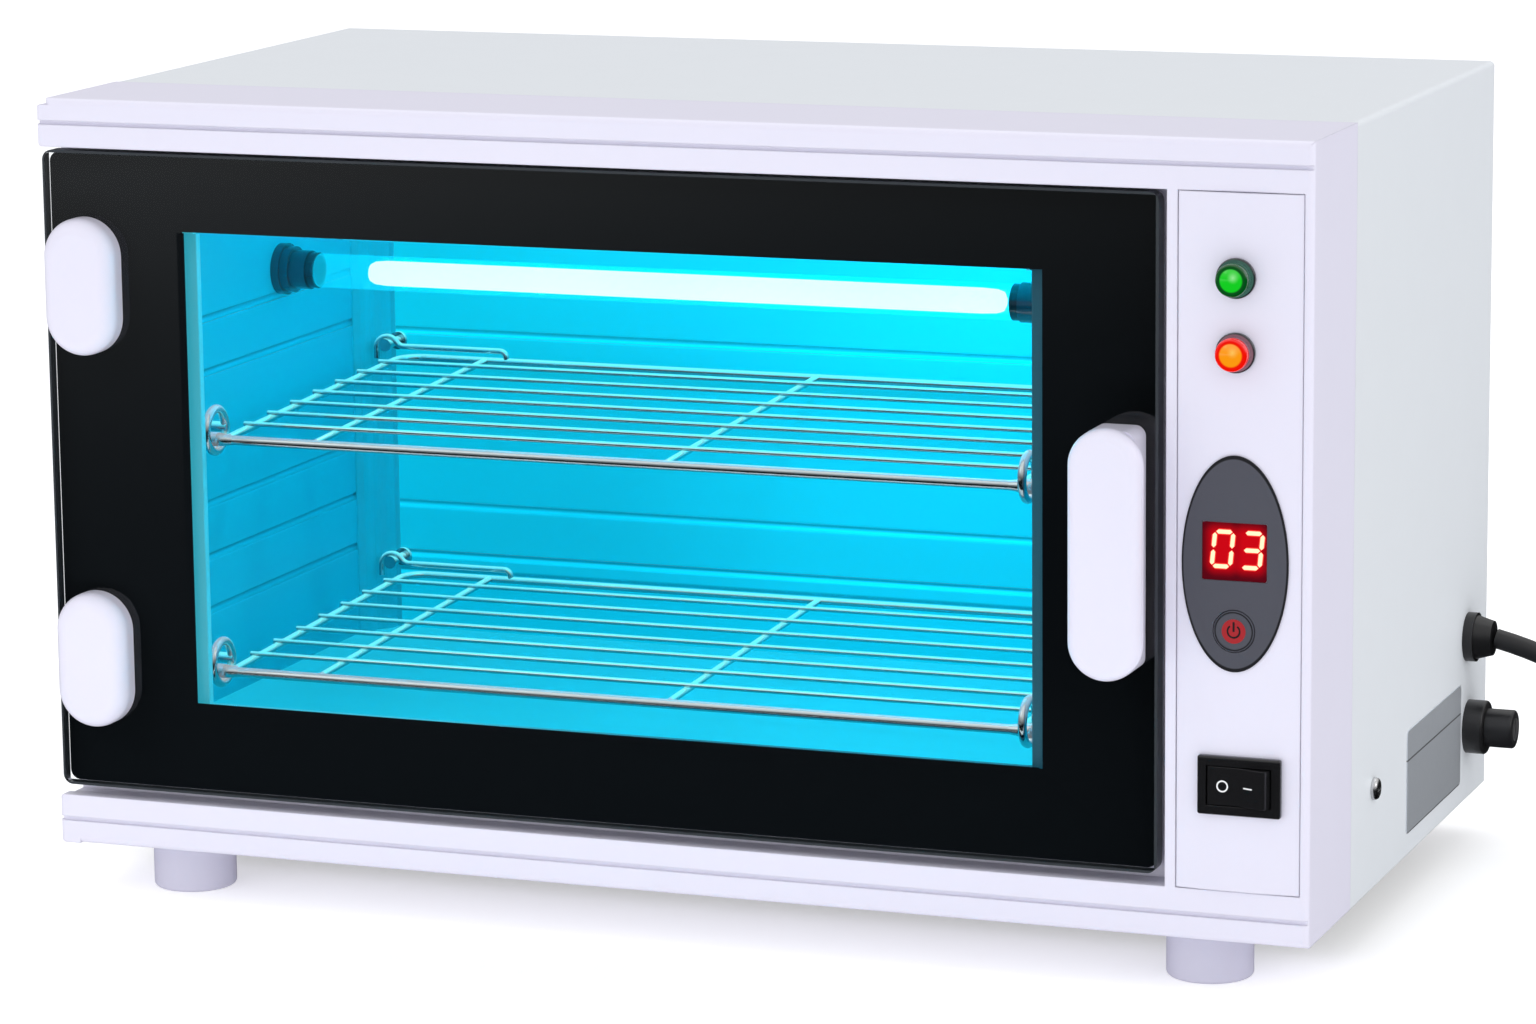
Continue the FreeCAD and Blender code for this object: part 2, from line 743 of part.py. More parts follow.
def beaded_wall(wall, runs):
    """A sheet wall with pressed beads: each run bulges outward and is grooved inside."""
    grooves = []
    for start, end, outward in runs:
        bulge = capsule(start, end, bead_radius + liner)
        bulge = bulge.common(outward)
        wall = wall.fuse(bulge)
        grooves.append(capsule(start, end, bead_radius))
    return wall.cut(grooves).removeSplitter()


def chamber_side(inner_x, outward):
    """Left or right chamber wall; outward is -1 at the left and 1 at the right."""
    outer_x = inner_x + outward * liner
    x0, x1 = sorted((inner_x, outer_x))
    wall = box(x0, x1, face_back, chamber_back, chamber_bottom, chamber_top)
    far = inner_x + outward * 9
    x0, x1 = sorted((inner_x + outward * liner / 2, far))
    room = box(x0, x1, face_back, chamber_back, chamber_bottom, chamber_top)
    runs = [(V(inner_x, face_back + bead_end, z), V(inner_x, chamber_back - bead_end, z), room)
            for z in side_bead_heights()]
    return beaded_wall(wall, runs)


def chamber_rear():
    wall = box(chamber_left - liner, chamber_right + liner, chamber_back, chamber_back + liner,
               chamber_bottom, chamber_top)
    room = box(chamber_left, chamber_right, chamber_back + liner / 2, chamber_back + 9,
               chamber_bottom, chamber_top)
    heights = side_bead_heights()
    runs = [(V(chamber_left + bead_end, chamber_back, z - 4.0),
             V(chamber_right - bead_end, chamber_back, z - 4.0), room) for z in heights[:2] + heights[3:]]
    return beaded_wall(wall, runs)


def chamber_floor():
    return box(chamber_left - liner, chamber_right + liner, face_back, chamber_back + liner,
               chamber_bottom - liner, chamber_bottom)


def chamber_ceiling():
    return box(chamber_left - liner, chamber_right + liner, face_back, chamber_back + liner,
               chamber_top, chamber_top + liner)


# ---- shelves ----------------------------------------------------------------------------------
def rear_bar(z):
    """Y and Z of the back bar's axis, on a shelf whose front bar lies at height z."""
    length = shelf_back - shelf_front
    return shelf_front + math.sqrt(length ** 2 - shelf_rise ** 2), z + shelf_rise


def eye_places(z):
    """Each front eye's wall, direction into the chamber, X, Y, Z and where its stem stands, along Y."""
    eye_z = z + eye_radius - eye_wire - bar_end_radius - eye_clearance
    return [(chamber_left, 1, shelf_x0 - eye_offset, shelf_front, eye_z, 1),
            (chamber_right, -1, shelf_x1 + eye_offset, shelf_front, eye_z, 1)]


def hook_places():
    """Each hook's direction into the chamber and the X of the side bar beside it."""
    return ((1, shelf_x0), (-1, shelf_x1))


def bar_end(x, inward, z):
    """The front bar's thicker end: a cone that swells to a short ball-ended stub."""
    start = x + inward * bar_end_length
    cone_length = bar_end_length * 0.6
    cone = Part.makeCone(front_bar_radius, bar_end_radius, cone_length,
                         V(start, shelf_front, z), V(-inward, 0, 0))
    stub = Part.makeCylinder(bar_end_radius, bar_end_length - cone_length,
                             V(start - inward * cone_length, shelf_front, z), V(-inward, 0, 0))
    return [cone, stub, Part.makeSphere(bar_end_radius, V(x, shelf_front, z))]


def bent_rod(edges, radius):
    """A round wire along lines and arcs that run on into each other."""
    path = Part.Wire(edges)
    first = edges[0]
    start, along = first.valueAt(first.FirstParameter), first.tangentAt(first.FirstParameter)
    section = Part.Wire([Part.makeCircle(radius, start, along)])
    return path.makePipeShell([section], True, False)


def arc_through(start, middle, end):
    return Part.Arc(start, middle, end).toShape()


def shelf_frame(z):
    """Side and back bars: one wire, with a rounded corner at each end of the back bar."""
    bend = frame_corner
    turn = bend * (1 - math.sqrt(0.5))
    left_side, left_back = V(shelf_x0, shelf_back - bend, z), V(shelf_x0 + bend, shelf_back, z)
    right_back, right_side = V(shelf_x1 - bend, shelf_back, z), V(shelf_x1, shelf_back - bend, z)
    return bent_rod([Part.makeLine(V(shelf_x0, shelf_front, z), left_side),
                     arc_through(left_side, V(shelf_x0 + turn, shelf_back - turn, z), left_back),
                     Part.makeLine(left_back, right_back),
                     arc_through(right_back, V(shelf_x1 - turn, shelf_back - turn, z), right_side),
                     Part.makeLine(right_side, V(shelf_x1, shelf_front, z))], frame_bar_radius)


def shelf_hook(inward, bar_x, y, z):
    """A wire that arches over its peg, runs level above the back bar and bends down onto it."""
    centre_x, centre_z = bar_x - inward * hook_start, z + hook_arch_lift
    level = z + hook_lift

    def at(dx, height):
        return V(centre_x + inward * dx, y, height)

    def on_arch(angle):
        return at(hook_arch * math.cos(angle), centre_z + hook_arch * math.sin(angle))

    leave = math.radians(35)    # where the arch gives way to the bend onto the level run
    corner = on_arch(leave)
    drop = corner.z - level
    bend = drop / (1 - math.sin(leave))
    centre_dx = hook_arch * math.cos(leave) + bend * math.cos(leave)
    run_start = at(centre_dx, level)
    halfway = math.radians(90) + (math.radians(90) - leave) / 2
    half = at(centre_dx + bend * math.cos(halfway), level + bend - bend * math.sin(halfway))
    end_dx = hook_start + hook_length
    down_start = at(end_dx - hook_bend, level)
    down_end = at(end_dx, level - hook_bend)
    down_half = at(end_dx - hook_bend * (1 - math.sqrt(0.5)), level - hook_bend * (1 - math.sqrt(0.5)))
    return bent_rod([Part.makeLine(at(-hook_arch, z - hook_radius), at(-hook_arch, centre_z)),
                     arc_through(at(-hook_arch, centre_z), at(0, centre_z + hook_arch), corner),
                     arc_through(corner, half, run_start),
                     Part.makeLine(run_start, down_start),
                     arc_through(down_start, down_half, down_end),
                     Part.makeLine(down_end, at(end_dx, z))], hook_radius)


def wire_shelf(z):
    """Front bar, frame, two bars under the grille and the grille's rods on top, tilted up towards the
    back, with a hook at each end of the back bar."""
    x0 = shelf_x0 - eye_offset - bar_overhang
    x1 = shelf_x1 + eye_offset + bar_overhang
    wires = [shelf_frame(z)] + bar_end(x0, 1, z) + bar_end(x1, -1, z)
    bars = [shelf_x0 + share * (shelf_x1 - shelf_x0) for share in cross_bar_places]
    wires += [rod_y(x, shelf_front, shelf_back, z, cross_bar_radius) for x in bars]
    pitch = (shelf_back - shelf_front) / (rod_count + 1)
    top = z + frame_bar_radius + rod_radius - weld
    wires += [rod_x(shelf_x0 - frame_bar_radius, shelf_x1 + frame_bar_radius,
                    shelf_front + pitch * (i + 1), top, rod_radius) for i in range(rod_count)]
    front = rod_x(x0 + 1, x1 - 1, shelf_front, z, front_bar_radius)
    shelf = front.multiFuse(wires)
    tilt = math.degrees(math.asin(shelf_rise / (shelf_back - shelf_front)))
    shelf.rotate(V(0, shelf_front, z), V(1, 0, 0), tilt)
    hooks = [shelf_hook(inward, bar_x, *rear_bar(z)) for inward, bar_x in hook_places()]
    return shelf.multiFuse(hooks)


def shelf_eye(wall_x, inward, x, y, z, stem_side):
    """A wire eye on a foot, standing off the chamber wall; the shelf's bar rests in it."""
    ring = Part.makeTorus(eye_radius, eye_wire, V(x, y, z), V(1, 0, 0))
    stem_start = V(wall_x, y + stem_side * eye_radius, z)
    length = inward * (x - wall_x) + eye_wire * 0.6
    stem = Part.makeCylinder(eye_stem_radius, length, stem_start, V(inward, 0, 0))
    foot = Part.makeCylinder(eye_foot_radius, eye_foot, stem_start, V(inward, 0, 0))
    return ring.multiFuse([stem, foot])


def shelf_peg(inward, bar_x, y, z):
    """A headed peg that stands off the chamber's back, under the arch of a shelf's hook."""
    x = bar_x - inward * hook_start
    axis_z = z + hook_arch_lift + hook_arch - hook_radius - peg_radius - peg_clearance
    tip = chamber_back - peg_reach
    peg = rod_y(x, tip, chamber_back, axis_z, peg_radius)
    return peg.multiFuse([rod_y(x, tip, tip + peg_head, axis_z, peg_head_radius),
                          rod_y(x, chamber_back - peg_foot, chamber_back, axis_z, peg_foot_radius)])


def shelf_eyes():
    """The front eyes, on the side walls, and the pegs on the back wall."""
    pieces = [shelf_eye(*place) for z in (upper_z, lower_z) for place in eye_places(z)]
    pieces += [shelf_peg(inward, bar_x, *rear_bar(z)) for z in (upper_z, lower_z)
               for inward, bar_x in hook_places()]
    return group(pieces)


# ---- lamp -------------------------------------------------------------------------------------
def lamp_places():
    """Left holder foot, glass ends and right holder foot, along X."""
    cup_end = chamber_left + holder_flange + holder_boss + holder_cup
    glass_x0 = cup_end + lamp_fit + cap_ring
    right_foot = chamber_right - bracket_reach
    glass_x1 = right_foot - (cap_ring + lamp_fit + holder_cup + holder_boss + holder_flange)
    return cup_end, glass_x0, glass_x1, right_foot


def lamp_tube():
    cup_end, glass_x0, glass_x1, right_foot = lamp_places()
    glass = rod_x(glass_x0, glass_x1, lamp_y, lamp_z, tube_radius)
    return fillet_where(glass, 0.8, lambda m, e: near(m.x, glass_x0) or near(m.x, glass_x1))


def lamp_cap(glass_end, outward):
    direction = V(outward, 0, 0)
    base = V(glass_end, lamp_y, lamp_z)
    ring = Part.makeCylinder(cap_ring_radius, cap_ring, base, direction)
    shell = Part.makeCylinder(cap_radius, cap_length, base, direction)
    pins = [Part.makeCylinder(contact_pin_radius, cap_length + contact_pin_length,
                              V(glass_end, lamp_y, lamp_z + dz), direction)
            for dz in (-contact_pin_spread, contact_pin_spread)]
    return ring.multiFuse([shell] + pins).removeSplitter()


def lamp_caps():
    cup_end, glass_x0, glass_x1, right_foot = lamp_places()
    return group([lamp_cap(glass_x0, -1), lamp_cap(glass_x1, 1)])


def lampholder(foot_x, inward):
    direction = V(inward, 0, 0)
    base = V(foot_x, lamp_y, lamp_z)
    flange = Part.makeCylinder(holder_flange_radius, holder_flange, base, direction)
    boss = Part.makeCylinder(holder_boss_radius, holder_flange + holder_boss, base, direction)
    depth = holder_flange + holder_boss + holder_cup
    cup = Part.makeCylinder(holder_cup_radius, depth, base, direction)
    mouth_start = base + direction * (depth - cap_length - contact_pin_length)
    bore = Part.makeCylinder(cap_radius + lamp_fit, cap_length + contact_pin_length + 1,
                             mouth_start, direction)
    return flange.multiFuse([boss, cup]).cut(bore).removeSplitter()


def lamp_bracket():
    """A folded strip that carries the right lampholder off the chamber's right wall."""
    cup_end, glass_x0, glass_x1, right_foot = lamp_places()
    y0 = lamp_y - bracket_width / 2
    y1 = lamp_y + bracket_width / 2
    top = lamp_z + bracket_drop
    plate = box(right_foot, right_foot + bracket_sheet, y0, y1, lamp_z - bracket_drop, top)
    bridge = box(right_foot, chamber_right, y0, y1, top - bracket_sheet, top)
    foot = box(chamber_right - bracket_sheet, chamber_right, y0, y1, top - 12.0, top)
    return plate.multiFuse([bridge, foot]).removeSplitter()


# ---- control column ---------------------------------------------------------------------------
def crown_arc(x0, x1, edge_y, lift):
    """An arc across the column, edge_y at both sides and edge_y - lift in the middle."""
    middle = V((x0 + x1) / 2, edge_y - lift, 0)
    return Part.Arc(V(x0, edge_y, 0), middle, V(x1, edge_y, 0)).toShape()


def crowned_plate(x0, x1, z0, z1, edge_y, lift, back_y):
    arc = crown_arc(x0, x1, edge_y, lift)
    outline = Part.Wire([arc,
                         Part.LineSegment(V(x1, edge_y, 0), V(x1, back_y, 0)).toShape(),
                         Part.LineSegment(V(x1, back_y, 0), V(x0, back_y, 0)).toShape(),
                         Part.LineSegment(V(x0, back_y, 0), V(x0, edge_y, 0)).toShape()])
    plate = Part.Face(outline).extrude(V(0, 0, z1 - z0))
    plate.translate(V(0, 0, z0))
    return plate


def control_panel():
    panel = crowned_plate(panel_left, panel_right, panel_bottom + panel_gap, panel_top - panel_gap,
                          0.2, panel_crown + 0.2, panel_back)
    far = panel_back + 1
    holes = [rod_y(controls_x, -3, far, z, pilot_body_radius + 0.2)
             for z in (pilot_green_height, pilot_orange_height)]
    holes.append(rod_y(controls_x, -3, far, button_middle, button_radius + button_gap))
    holes.append(box(controls_x - display_width / 2 + 0.6, controls_x + display_width / 2 - 0.6, -3, far,
                     display_middle - display_height / 2 + 0.6, display_middle + display_height / 2 - 0.6))
    half_w = switch_width / 2 - 2.0
    half_h = switch_height / 2 - 1.5
    holes.append(box(switch_x() - half_w, switch_x() + half_w, -3, far,
                     switch_middle - half_h, switch_middle + half_h))
    return panel.cut(holes)


def switch_x():
    return controls_x + switch_offset


def overlay_plate():
    """An oval skin on the crowned panel, open at the display and round the button."""
    skin = crowned_plate(panel_left, panel_right, overlay_middle - overlay_height,
                         overlay_middle + overlay_height, 0.2 - overlay_thickness, panel_crown + 0.2, panel_back)
    under = crowned_plate(panel_left, panel_right, overlay_middle - overlay_height - 1,
                          overlay_middle + overlay_height + 1, 0.2, panel_crown + 0.2, panel_back)
    oval = Part.Ellipse(V(0, 0, 0), overlay_height / 2, overlay_width / 2).toShape()
    face = Part.Face(Part.Wire(oval))
    prism = face.extrude(V(0, 0, 8))
    prism.rotate(V(0, 0, 0), V(0, 0, 1), 90)
    prism.rotate(V(0, 0, 0), V(1, 0, 0), 90)
    prism.translate(V(controls_x, panel_back, overlay_middle))
    holes = [rod_y(controls_x, -4, 3, button_middle, button_radius + button_gap),
             box(controls_x - display_width / 2, controls_x + display_width / 2, -4, 3,
                 display_middle - display_height / 2, display_middle + display_height / 2)]
    return skin.cut(under).common(prism).cut(holes)


def display_window():
    front = crown_y - overlay_thickness + 0.1
    gap = 0.1
    return rounded_plate(controls_x - display_width / 2 + gap, controls_x + display_width / 2 - gap,
                         front, crown_y, display_middle - display_height / 2 + gap,
                         display_middle + display_height / 2 - gap, 0.5)


def display_module():
    half_w = display_width / 2 - 0.9
    half_h = display_height / 2 - 0.9
    return box(controls_x - half_w, controls_x + half_w, crown_y, display_depth,
               display_middle - half_h, display_middle + half_h)


def control_board():
    board = box(controls_x - board_width / 2, controls_x + board_width / 2, display_depth,
                display_depth + board_thickness, button_middle - 9.0, pilot_green_height + 9.0)
    holes = [rod_y(controls_x, display_depth - 1, display_depth + 3, z, pilot_body_radius + 0.4)
             for z in (pilot_green_height, pilot_orange_height)]
    post_z = pilot_orange_height - 14.0
    post_places = [controls_x - board_width / 2 + 3.0, controls_x + board_width / 2 - 3.0]
    posts = [box(x - 2.0, x + 2.0, panel_back, display_depth, post_z - 2.0, post_z + 2.0)
             for x in post_places]
    return board.cut(holes).multiFuse(posts)


def power_button():
    front = crown_y - overlay_thickness - 0.2
    cap = rod_y(controls_x, front, panel_back + 1.2, button_middle, button_radius)
    cap = fillet_where(cap, 0.4, lambda m, e: near(m.y, front))
    flange = rod_y(controls_x, panel_back + 0.1, panel_back + 0.1 + button_flange, button_middle,
                   button_radius + 1.2)
    stem = rod_y(controls_x, panel_back + 1.0, button_switch_front() - button_travel - 0.1,
                 button_middle, 1.6)
    return cap.multiFuse([flange, stem]).removeSplitter()


def button_switch_front():
    return display_depth - 3.0


def button_switch():
    body = box(controls_x - 3.1, controls_x + 3.1, button_switch_front() + 0.6, display_depth,
               button_middle - 3.1, button_middle + 3.1)
    dome = rod_y(controls_x, button_switch_front(), button_switch_front() + 1.0, button_middle, 1.7)
    return body.fuse(dome)


def pilot_lens(z):
    """A clear flange and barrel with a rounded rim and a shallow dome in its front."""
    front = crown_y - pilot_protrusion
    flange = rod_y(controls_x, crown_y - pilot_flange, crown_y, z, pilot_flange_radius)
    flange = fillet_where(flange, 0.5, lambda m, e: near(m.y, crown_y - pilot_flange))
    barrel = rod_y(controls_x, front, crown_y - pilot_flange / 2, z, pilot_lens_radius)
    barrel = fillet_where(barrel, pilot_rim, lambda m, e: near(m.y, front))
    ball_radius = (pilot_dome_radius ** 2 + pilot_dome ** 2) / (2 * pilot_dome)
    ball = Part.makeSphere(ball_radius, V(controls_x, front - pilot_dome + ball_radius, z))
    dome = ball.common(rod_y(controls_x, front - pilot_dome - 1, front + pilot_rim, z, pilot_dome_radius))
    return flange.multiFuse([barrel, dome]).removeSplitter()


def pilot_bodies():
    bodies = []
    for z in (pilot_green_height, pilot_orange_height):
        stem = rod_y(controls_x, crown_y, pilot_body_length, z, pilot_body_radius)
        nut = hexagon_y(controls_x, z, panel_back, panel_back + pilot_nut, pilot_nut_radius)
        bodies.append(stem.fuse(nut))
    return group(bodies)


def rocker_pivot():
    return switch_x(), crown_y + rocker_pivot_depth, switch_middle


def switch_housing():
    x, y, z = rocker_pivot()
    flange = box(x - switch_width / 2, x + switch_width / 2, crown_y - switch_flange, crown_y,
                 z - switch_height / 2, z + switch_height / 2)
    flange = fillet_where(flange, 0.7, lambda m, e: near(m.y, crown_y - switch_flange)
                          or near(m.y, crown_y - switch_flange / 2))
    cavity_w = rocker_radius + rocker_gap
    cavity_h = rocker_height / 2 + rocker_gap
    body_w = min(cavity_w + switch_wall, switch_width / 2 - 2.2)
    body_h = cavity_h + switch_wall - 0.4
    body = box(x - body_w, x + body_w, crown_y, crown_y + switch_body_depth, z - body_h, z + body_h)
    cavity = box(x - cavity_w, x + cavity_w, crown_y - switch_flange - 1, y + rocker_radius + 0.6,
                 z - cavity_h, z + cavity_h)
    bore = rod_z(x, y, z - cavity_h - 0.6, z + cavity_h + 0.6, trunnion_radius + 0.05)
    return flange.fuse(body).cut([cavity, bore])


def switch_rocker():
    """A drum segment on a vertical pivot, cut by two facets; the left one is pressed flush."""
    x, y, z = rocker_pivot()
    half = rocker_height / 2
    drum = rod_z(x, y, z - half, z + half, rocker_radius)
    face_y = crown_y - switch_flange
    left_cut = box(x - 12, x, face_y - 14, face_y, z - half - 1, z + half + 1)
    right_cut = box(x, x + 14, face_y - 14, face_y, z - half - 1, z + half + 1)
    right_cut.rotate(V(x, face_y, z), V(0, 0, 1), -rocker_tilt)
    rocker = drum.cut([left_cut, right_cut])
    pins = rod_z(x, y, z - half - rocker_gap - 0.5, z + half + rocker_gap + 0.5, trunnion_radius)
    return rocker.fuse(pins)


def switch_terminals():
    x, y, z = rocker_pivot()
    back = crown_y + switch_body_depth
    return group([box(x + dx - tab_thickness / 2, x + dx + tab_thickness / 2, back, back + tab_length,
                      z - tab_width / 2, z + tab_width / 2)
                  for dx in (-switch_tab_pitch, 0.0, switch_tab_pitch)])


# ---- case -------------------------------------------------------------------------------------
def outer_case():
    """Left side, top and right side in one folded sheet, with returns for the back panel."""
    outer = box(body_left, body_width, bezel_depth, body_depth, 0, body_height)
    outer = fillet_where(outer, 1.5, lambda m, e: near(m.z, body_height)
                         and (near(m.x, body_left) or near(m.x, body_width)))
    inner = box(case_inner_left, case_inner_right, bezel_depth - 1, body_depth + 1, -1, body_height - sheet)
    wrap = outer.cut(inner)
    returns = [box(x0, x1, back_inner - sheet, back_inner, 14.0, body_height - sheet)
               for x0, x1 in ((case_inner_left, case_inner_left + 12.0),
                              (case_inner_right - 12.0, case_inner_right))]
    wrap = wrap.multiFuse(returns)
    x0, x1 = body_width - 3, body_width + 1
    holes = [rod_x(x0, x1, entry_y, entry_z, grommet_barrel_radius + screw_hole_gap),
             rod_x(x0, x1, fuse_y, fuse_z, fuse_barrel_radius + screw_hole_gap),
             rod_x(body_left - 1, x1, side_screw_y, side_screw_z, clamp_screw_radius + screw_hole_gap)]
    holes += back_screw_holes()
    return wrap.cut(holes).removeSplitter()


def back_screw_places():
    places = [(x, z) for x in (case_inner_left + 6.0, case_inner_right - 6.0)
              for z in (30.0, body_height / 2, body_height - 20.0)]
    return places


def back_screw_holes():
    return [rod_y(x, back_inner - 4, body_depth + 1, z, clamp_screw_radius + screw_hole_gap)
            for x, z in back_screw_places()]


def back_panel():
    panel = box(case_inner_left, case_inner_right, back_inner, body_depth, sheet, body_height - sheet)
    slots = []
    for row in range(6):
        z = body_height * 0.66 + row * 7.0
        for x in (body_width * 0.3, body_width * 0.7):
            slot = box(x - 22, x + 22, back_inner - 1, body_depth + 1, z - 1.2, z + 1.2)
            slots.append(slot)
    return panel.cut(slots + back_screw_holes())


def base_plate():
    tray = box(case_inner_left, case_inner_right, bezel_depth, back_inner, 0, sheet)
    walls = [box(x0, x0 + sheet, bezel_depth + spigot_depth + 1, back_inner - sheet, 0, tray_wall)
             for x0 in (case_inner_left, case_inner_right - sheet)]
    tray = tray.multiFuse(walls)
    holes = [rod_x(body_left - 1, body_width + 1, side_screw_y, side_screw_z,
                   clamp_screw_radius + screw_hole_gap),
             rod_x(body_width - 3, body_width + 1, fuse_y, fuse_z, fuse_nut_radius + 0.6)]
    holes += [rod_z(x, y, -1, sheet + 1, foot_screw_radius + screw_hole_gap)
              for x, y in foot_places() if y > bezel_depth]
    vents = [box(x - 1.5, x + 1.5, body_depth * 0.5, body_depth * 0.8, -1, sheet + 1)
             for x in [body_width * 0.5 + i * 9.0 for i in range(-5, 6)]]
    return tray.cut(holes + vents).removeSplitter()


def pan_head(seat, outward):
    """A domed head with a cross recess, its flat side on the seat."""
    head = rod_z(0, 0, 0, screw_head_height, screw_head_radius)
    head = fillet_where(head, screw_dome, lambda m, e: near(m.z, screw_head_height))
    reach = screw_head_radius - screw_dome
    floor = screw_head_height - cross_recess_depth
    half = cross_recess_width / 2
    head = head.cut([box(-reach, reach, -half, half, floor, screw_head_height + 1),
                     box(-half, half, -reach, reach, floor, screw_head_height + 1)])
    head.Placement = FreeCAD.Placement(seat, FreeCAD.Rotation(V(0, 0, 1), outward))
    return head


def case_screws():
    screws = []
    for wall_x, outward in ((body_left, -1), (body_width, 1)):
        direction = V(outward, 0, 0)
        shank = Part.makeCylinder(clamp_screw_radius, 8.0,
                                  V(wall_x - outward * 8.0, side_screw_y, side_screw_z), direction)
        screws.append(shank.fuse(pan_head(V(wall_x, side_screw_y, side_screw_z), direction)))
    for x, z in back_screw_places():
        shank = rod_y(x, body_depth - 8.0, body_depth, z, clamp_screw_radius)
        screws.append(shank.fuse(pan_head(V(x, body_depth, z), V(0, 1, 0))))
    return group(screws)


def rating_plate():
    y1 = body_depth - plate_back_margin
    plate = box(body_width, body_width + plate_thickness, y1 - plate_length, y1,
                plate_bottom, plate_bottom + plate_height)
    return fillet_where(plate, 1.5, lambda m, e: near(m.x, body_width + plate_thickness / 2))


# ---- feet -------------------------------------------------------------------------------------
def foot_places():
    return [(x, y) for x in (foot_inset_side, body_width - foot_inset_side)
            for y in (foot_inset_front, body_depth - foot_inset_back)]


def feet():
    solids = []
    for x, y in foot_places():
        foot = rod_z(x, y, -foot_height, 0, foot_radius)
        foot = fillet_where(foot, foot_edge, lambda m, e: near(m.z, -foot_height))
        recess = rod_z(x, y, -foot_height - 1, -foot_height + foot_recess, foot_recess_radius)
        hole = rod_z(x, y, -foot_height, 1, foot_screw_radius + screw_hole_gap)
        solids.append(foot.cut([recess, hole]))
    return group(solids)


def foot_seat(y):
    """Top of what a foot screw passes through: the bezel's floor or the base plate."""
    return moulding if y < bezel_depth else sheet


def foot_screws():
    solids = []
    for x, y in foot_places():
        seat = foot_seat(y)
        head_top = -foot_height + foot_recess
        head = rod_z(x, y, head_top - 2.2, head_top, 3.6)
        shank = rod_z(x, y, head_top - 1, seat + nut_height + 1.5, foot_screw_radius)
        nut = hexagon_z(x, y, seat, seat + nut_height, nut_radius)
        solids.append(head.multiFuse([shank, nut]).removeSplitter())
    return group(solids)


# ---- power entry ------------------------------------------------------------------------------
def cord_grommet():
    flange = rod_x(body_width, body_width + grommet_flange, entry_y, entry_z, grommet_flange_radius)
    nose = Part.makeCone(grommet_flange_radius - 0.8, grommet_nose_radius, grommet_length - grommet_flange,
                         V(body_width + grommet_flange, entry_y, entry_z), V(1, 0, 0))
    barrel = rod_x(body_width - grommet_barrel, body_width, entry_y, entry_z, grommet_barrel_radius)
    return flange.multiFuse([nose, barrel]).removeSplitter()


def fuse_holder():
    flange = rod_x(body_width, body_width + fuse_flange, fuse_y, fuse_z, fuse_flange_radius)
    flange = fillet_where(flange, 0.8, lambda m, e: near(m.x, body_width + fuse_flange))
    barrel = rod_x(body_width - fuse_barrel_length, body_width, fuse_y, fuse_z, fuse_barrel_radius)
    bore = rod_x(body_width - fuse_barrel_length + 3, body_width + fuse_flange + 1, fuse_y, fuse_z,
                 fuse_barrel_bore)
    return flange.fuse(barrel).cut(bore).removeSplitter()


def fuse_holder_nut():
    nut_x1 = case_inner_right
    nut = hexagon_x(fuse_y, fuse_z, nut_x1 - fuse_nut, nut_x1, fuse_nut_radius)
    return nut.cut(rod_x(nut_x1 - fuse_nut - 1, nut_x1 + 1, fuse_y, fuse_z, fuse_barrel_radius + 0.05))


def fuse_cap():
    start = body_width + fuse_flange + 0.1
    end = side_face
    knob = rod_x(start, end, fuse_y, fuse_z, fuse_cap_radius)
    knob = fillet_where(knob, 0.8, lambda m, e: near(m.x, end))
    plug_in = rod_x(start - 6.0, start + 1, fuse_y, fuse_z, fuse_barrel_bore - 0.1)
    slot = box(end - 1.2, end + 1, fuse_y - 0.7, fuse_y + 0.7, fuse_z - 3.4, fuse_z + 3.4)
    return knob.fuse(plug_in).cut(slot)


def fuse_link():
    x0 = body_width - fuse_barrel_length + 4.0
    return rod_x(x0, x0 + fuse_link_length, fuse_y, fuse_z, fuse_link_radius)


# ---- inside -----------------------------------------------------------------------------------
def ballast():
    w, h = ballast_width, ballast_height
    x = chamber_right + liner + ballast_gap
    y = bezel_depth + spigot_depth + ballast_setback
    d = body_depth - foot_inset_back - nut_radius - ballast_foot_gap - ballast_ear - y
    body = box(x, x + w, y, y + d, sheet, sheet + h)
    body = fillet_where(body, 2.0, lambda m, e: near(m.z, sheet + h / 2))
    ears = [box(x + w / 2 - 5, x + w / 2 + 5, y0, y0 + ballast_ear, sheet, sheet + 1.5)
            for y0 in (y - ballast_ear, y + d)]
    return body.multiFuse(ears)


def terminal_block():
    w, d, h = block_size
    x = case_inner_right - sheet - block_gap - w
    y = bezel_depth + spigot_depth + block_setback
    body = box(x, x + w, y, y + d, sheet, sheet + h)
    pitch = (d - 2 * terminal_inset) / (terminal_count - 1)
    wells = [rod_z(x + w / 2, y + terminal_inset + pitch * i, sheet + h - terminal_depth, sheet + h + 1,
                   terminal_radius) for i in range(terminal_count)]
    return body.cut(wells)


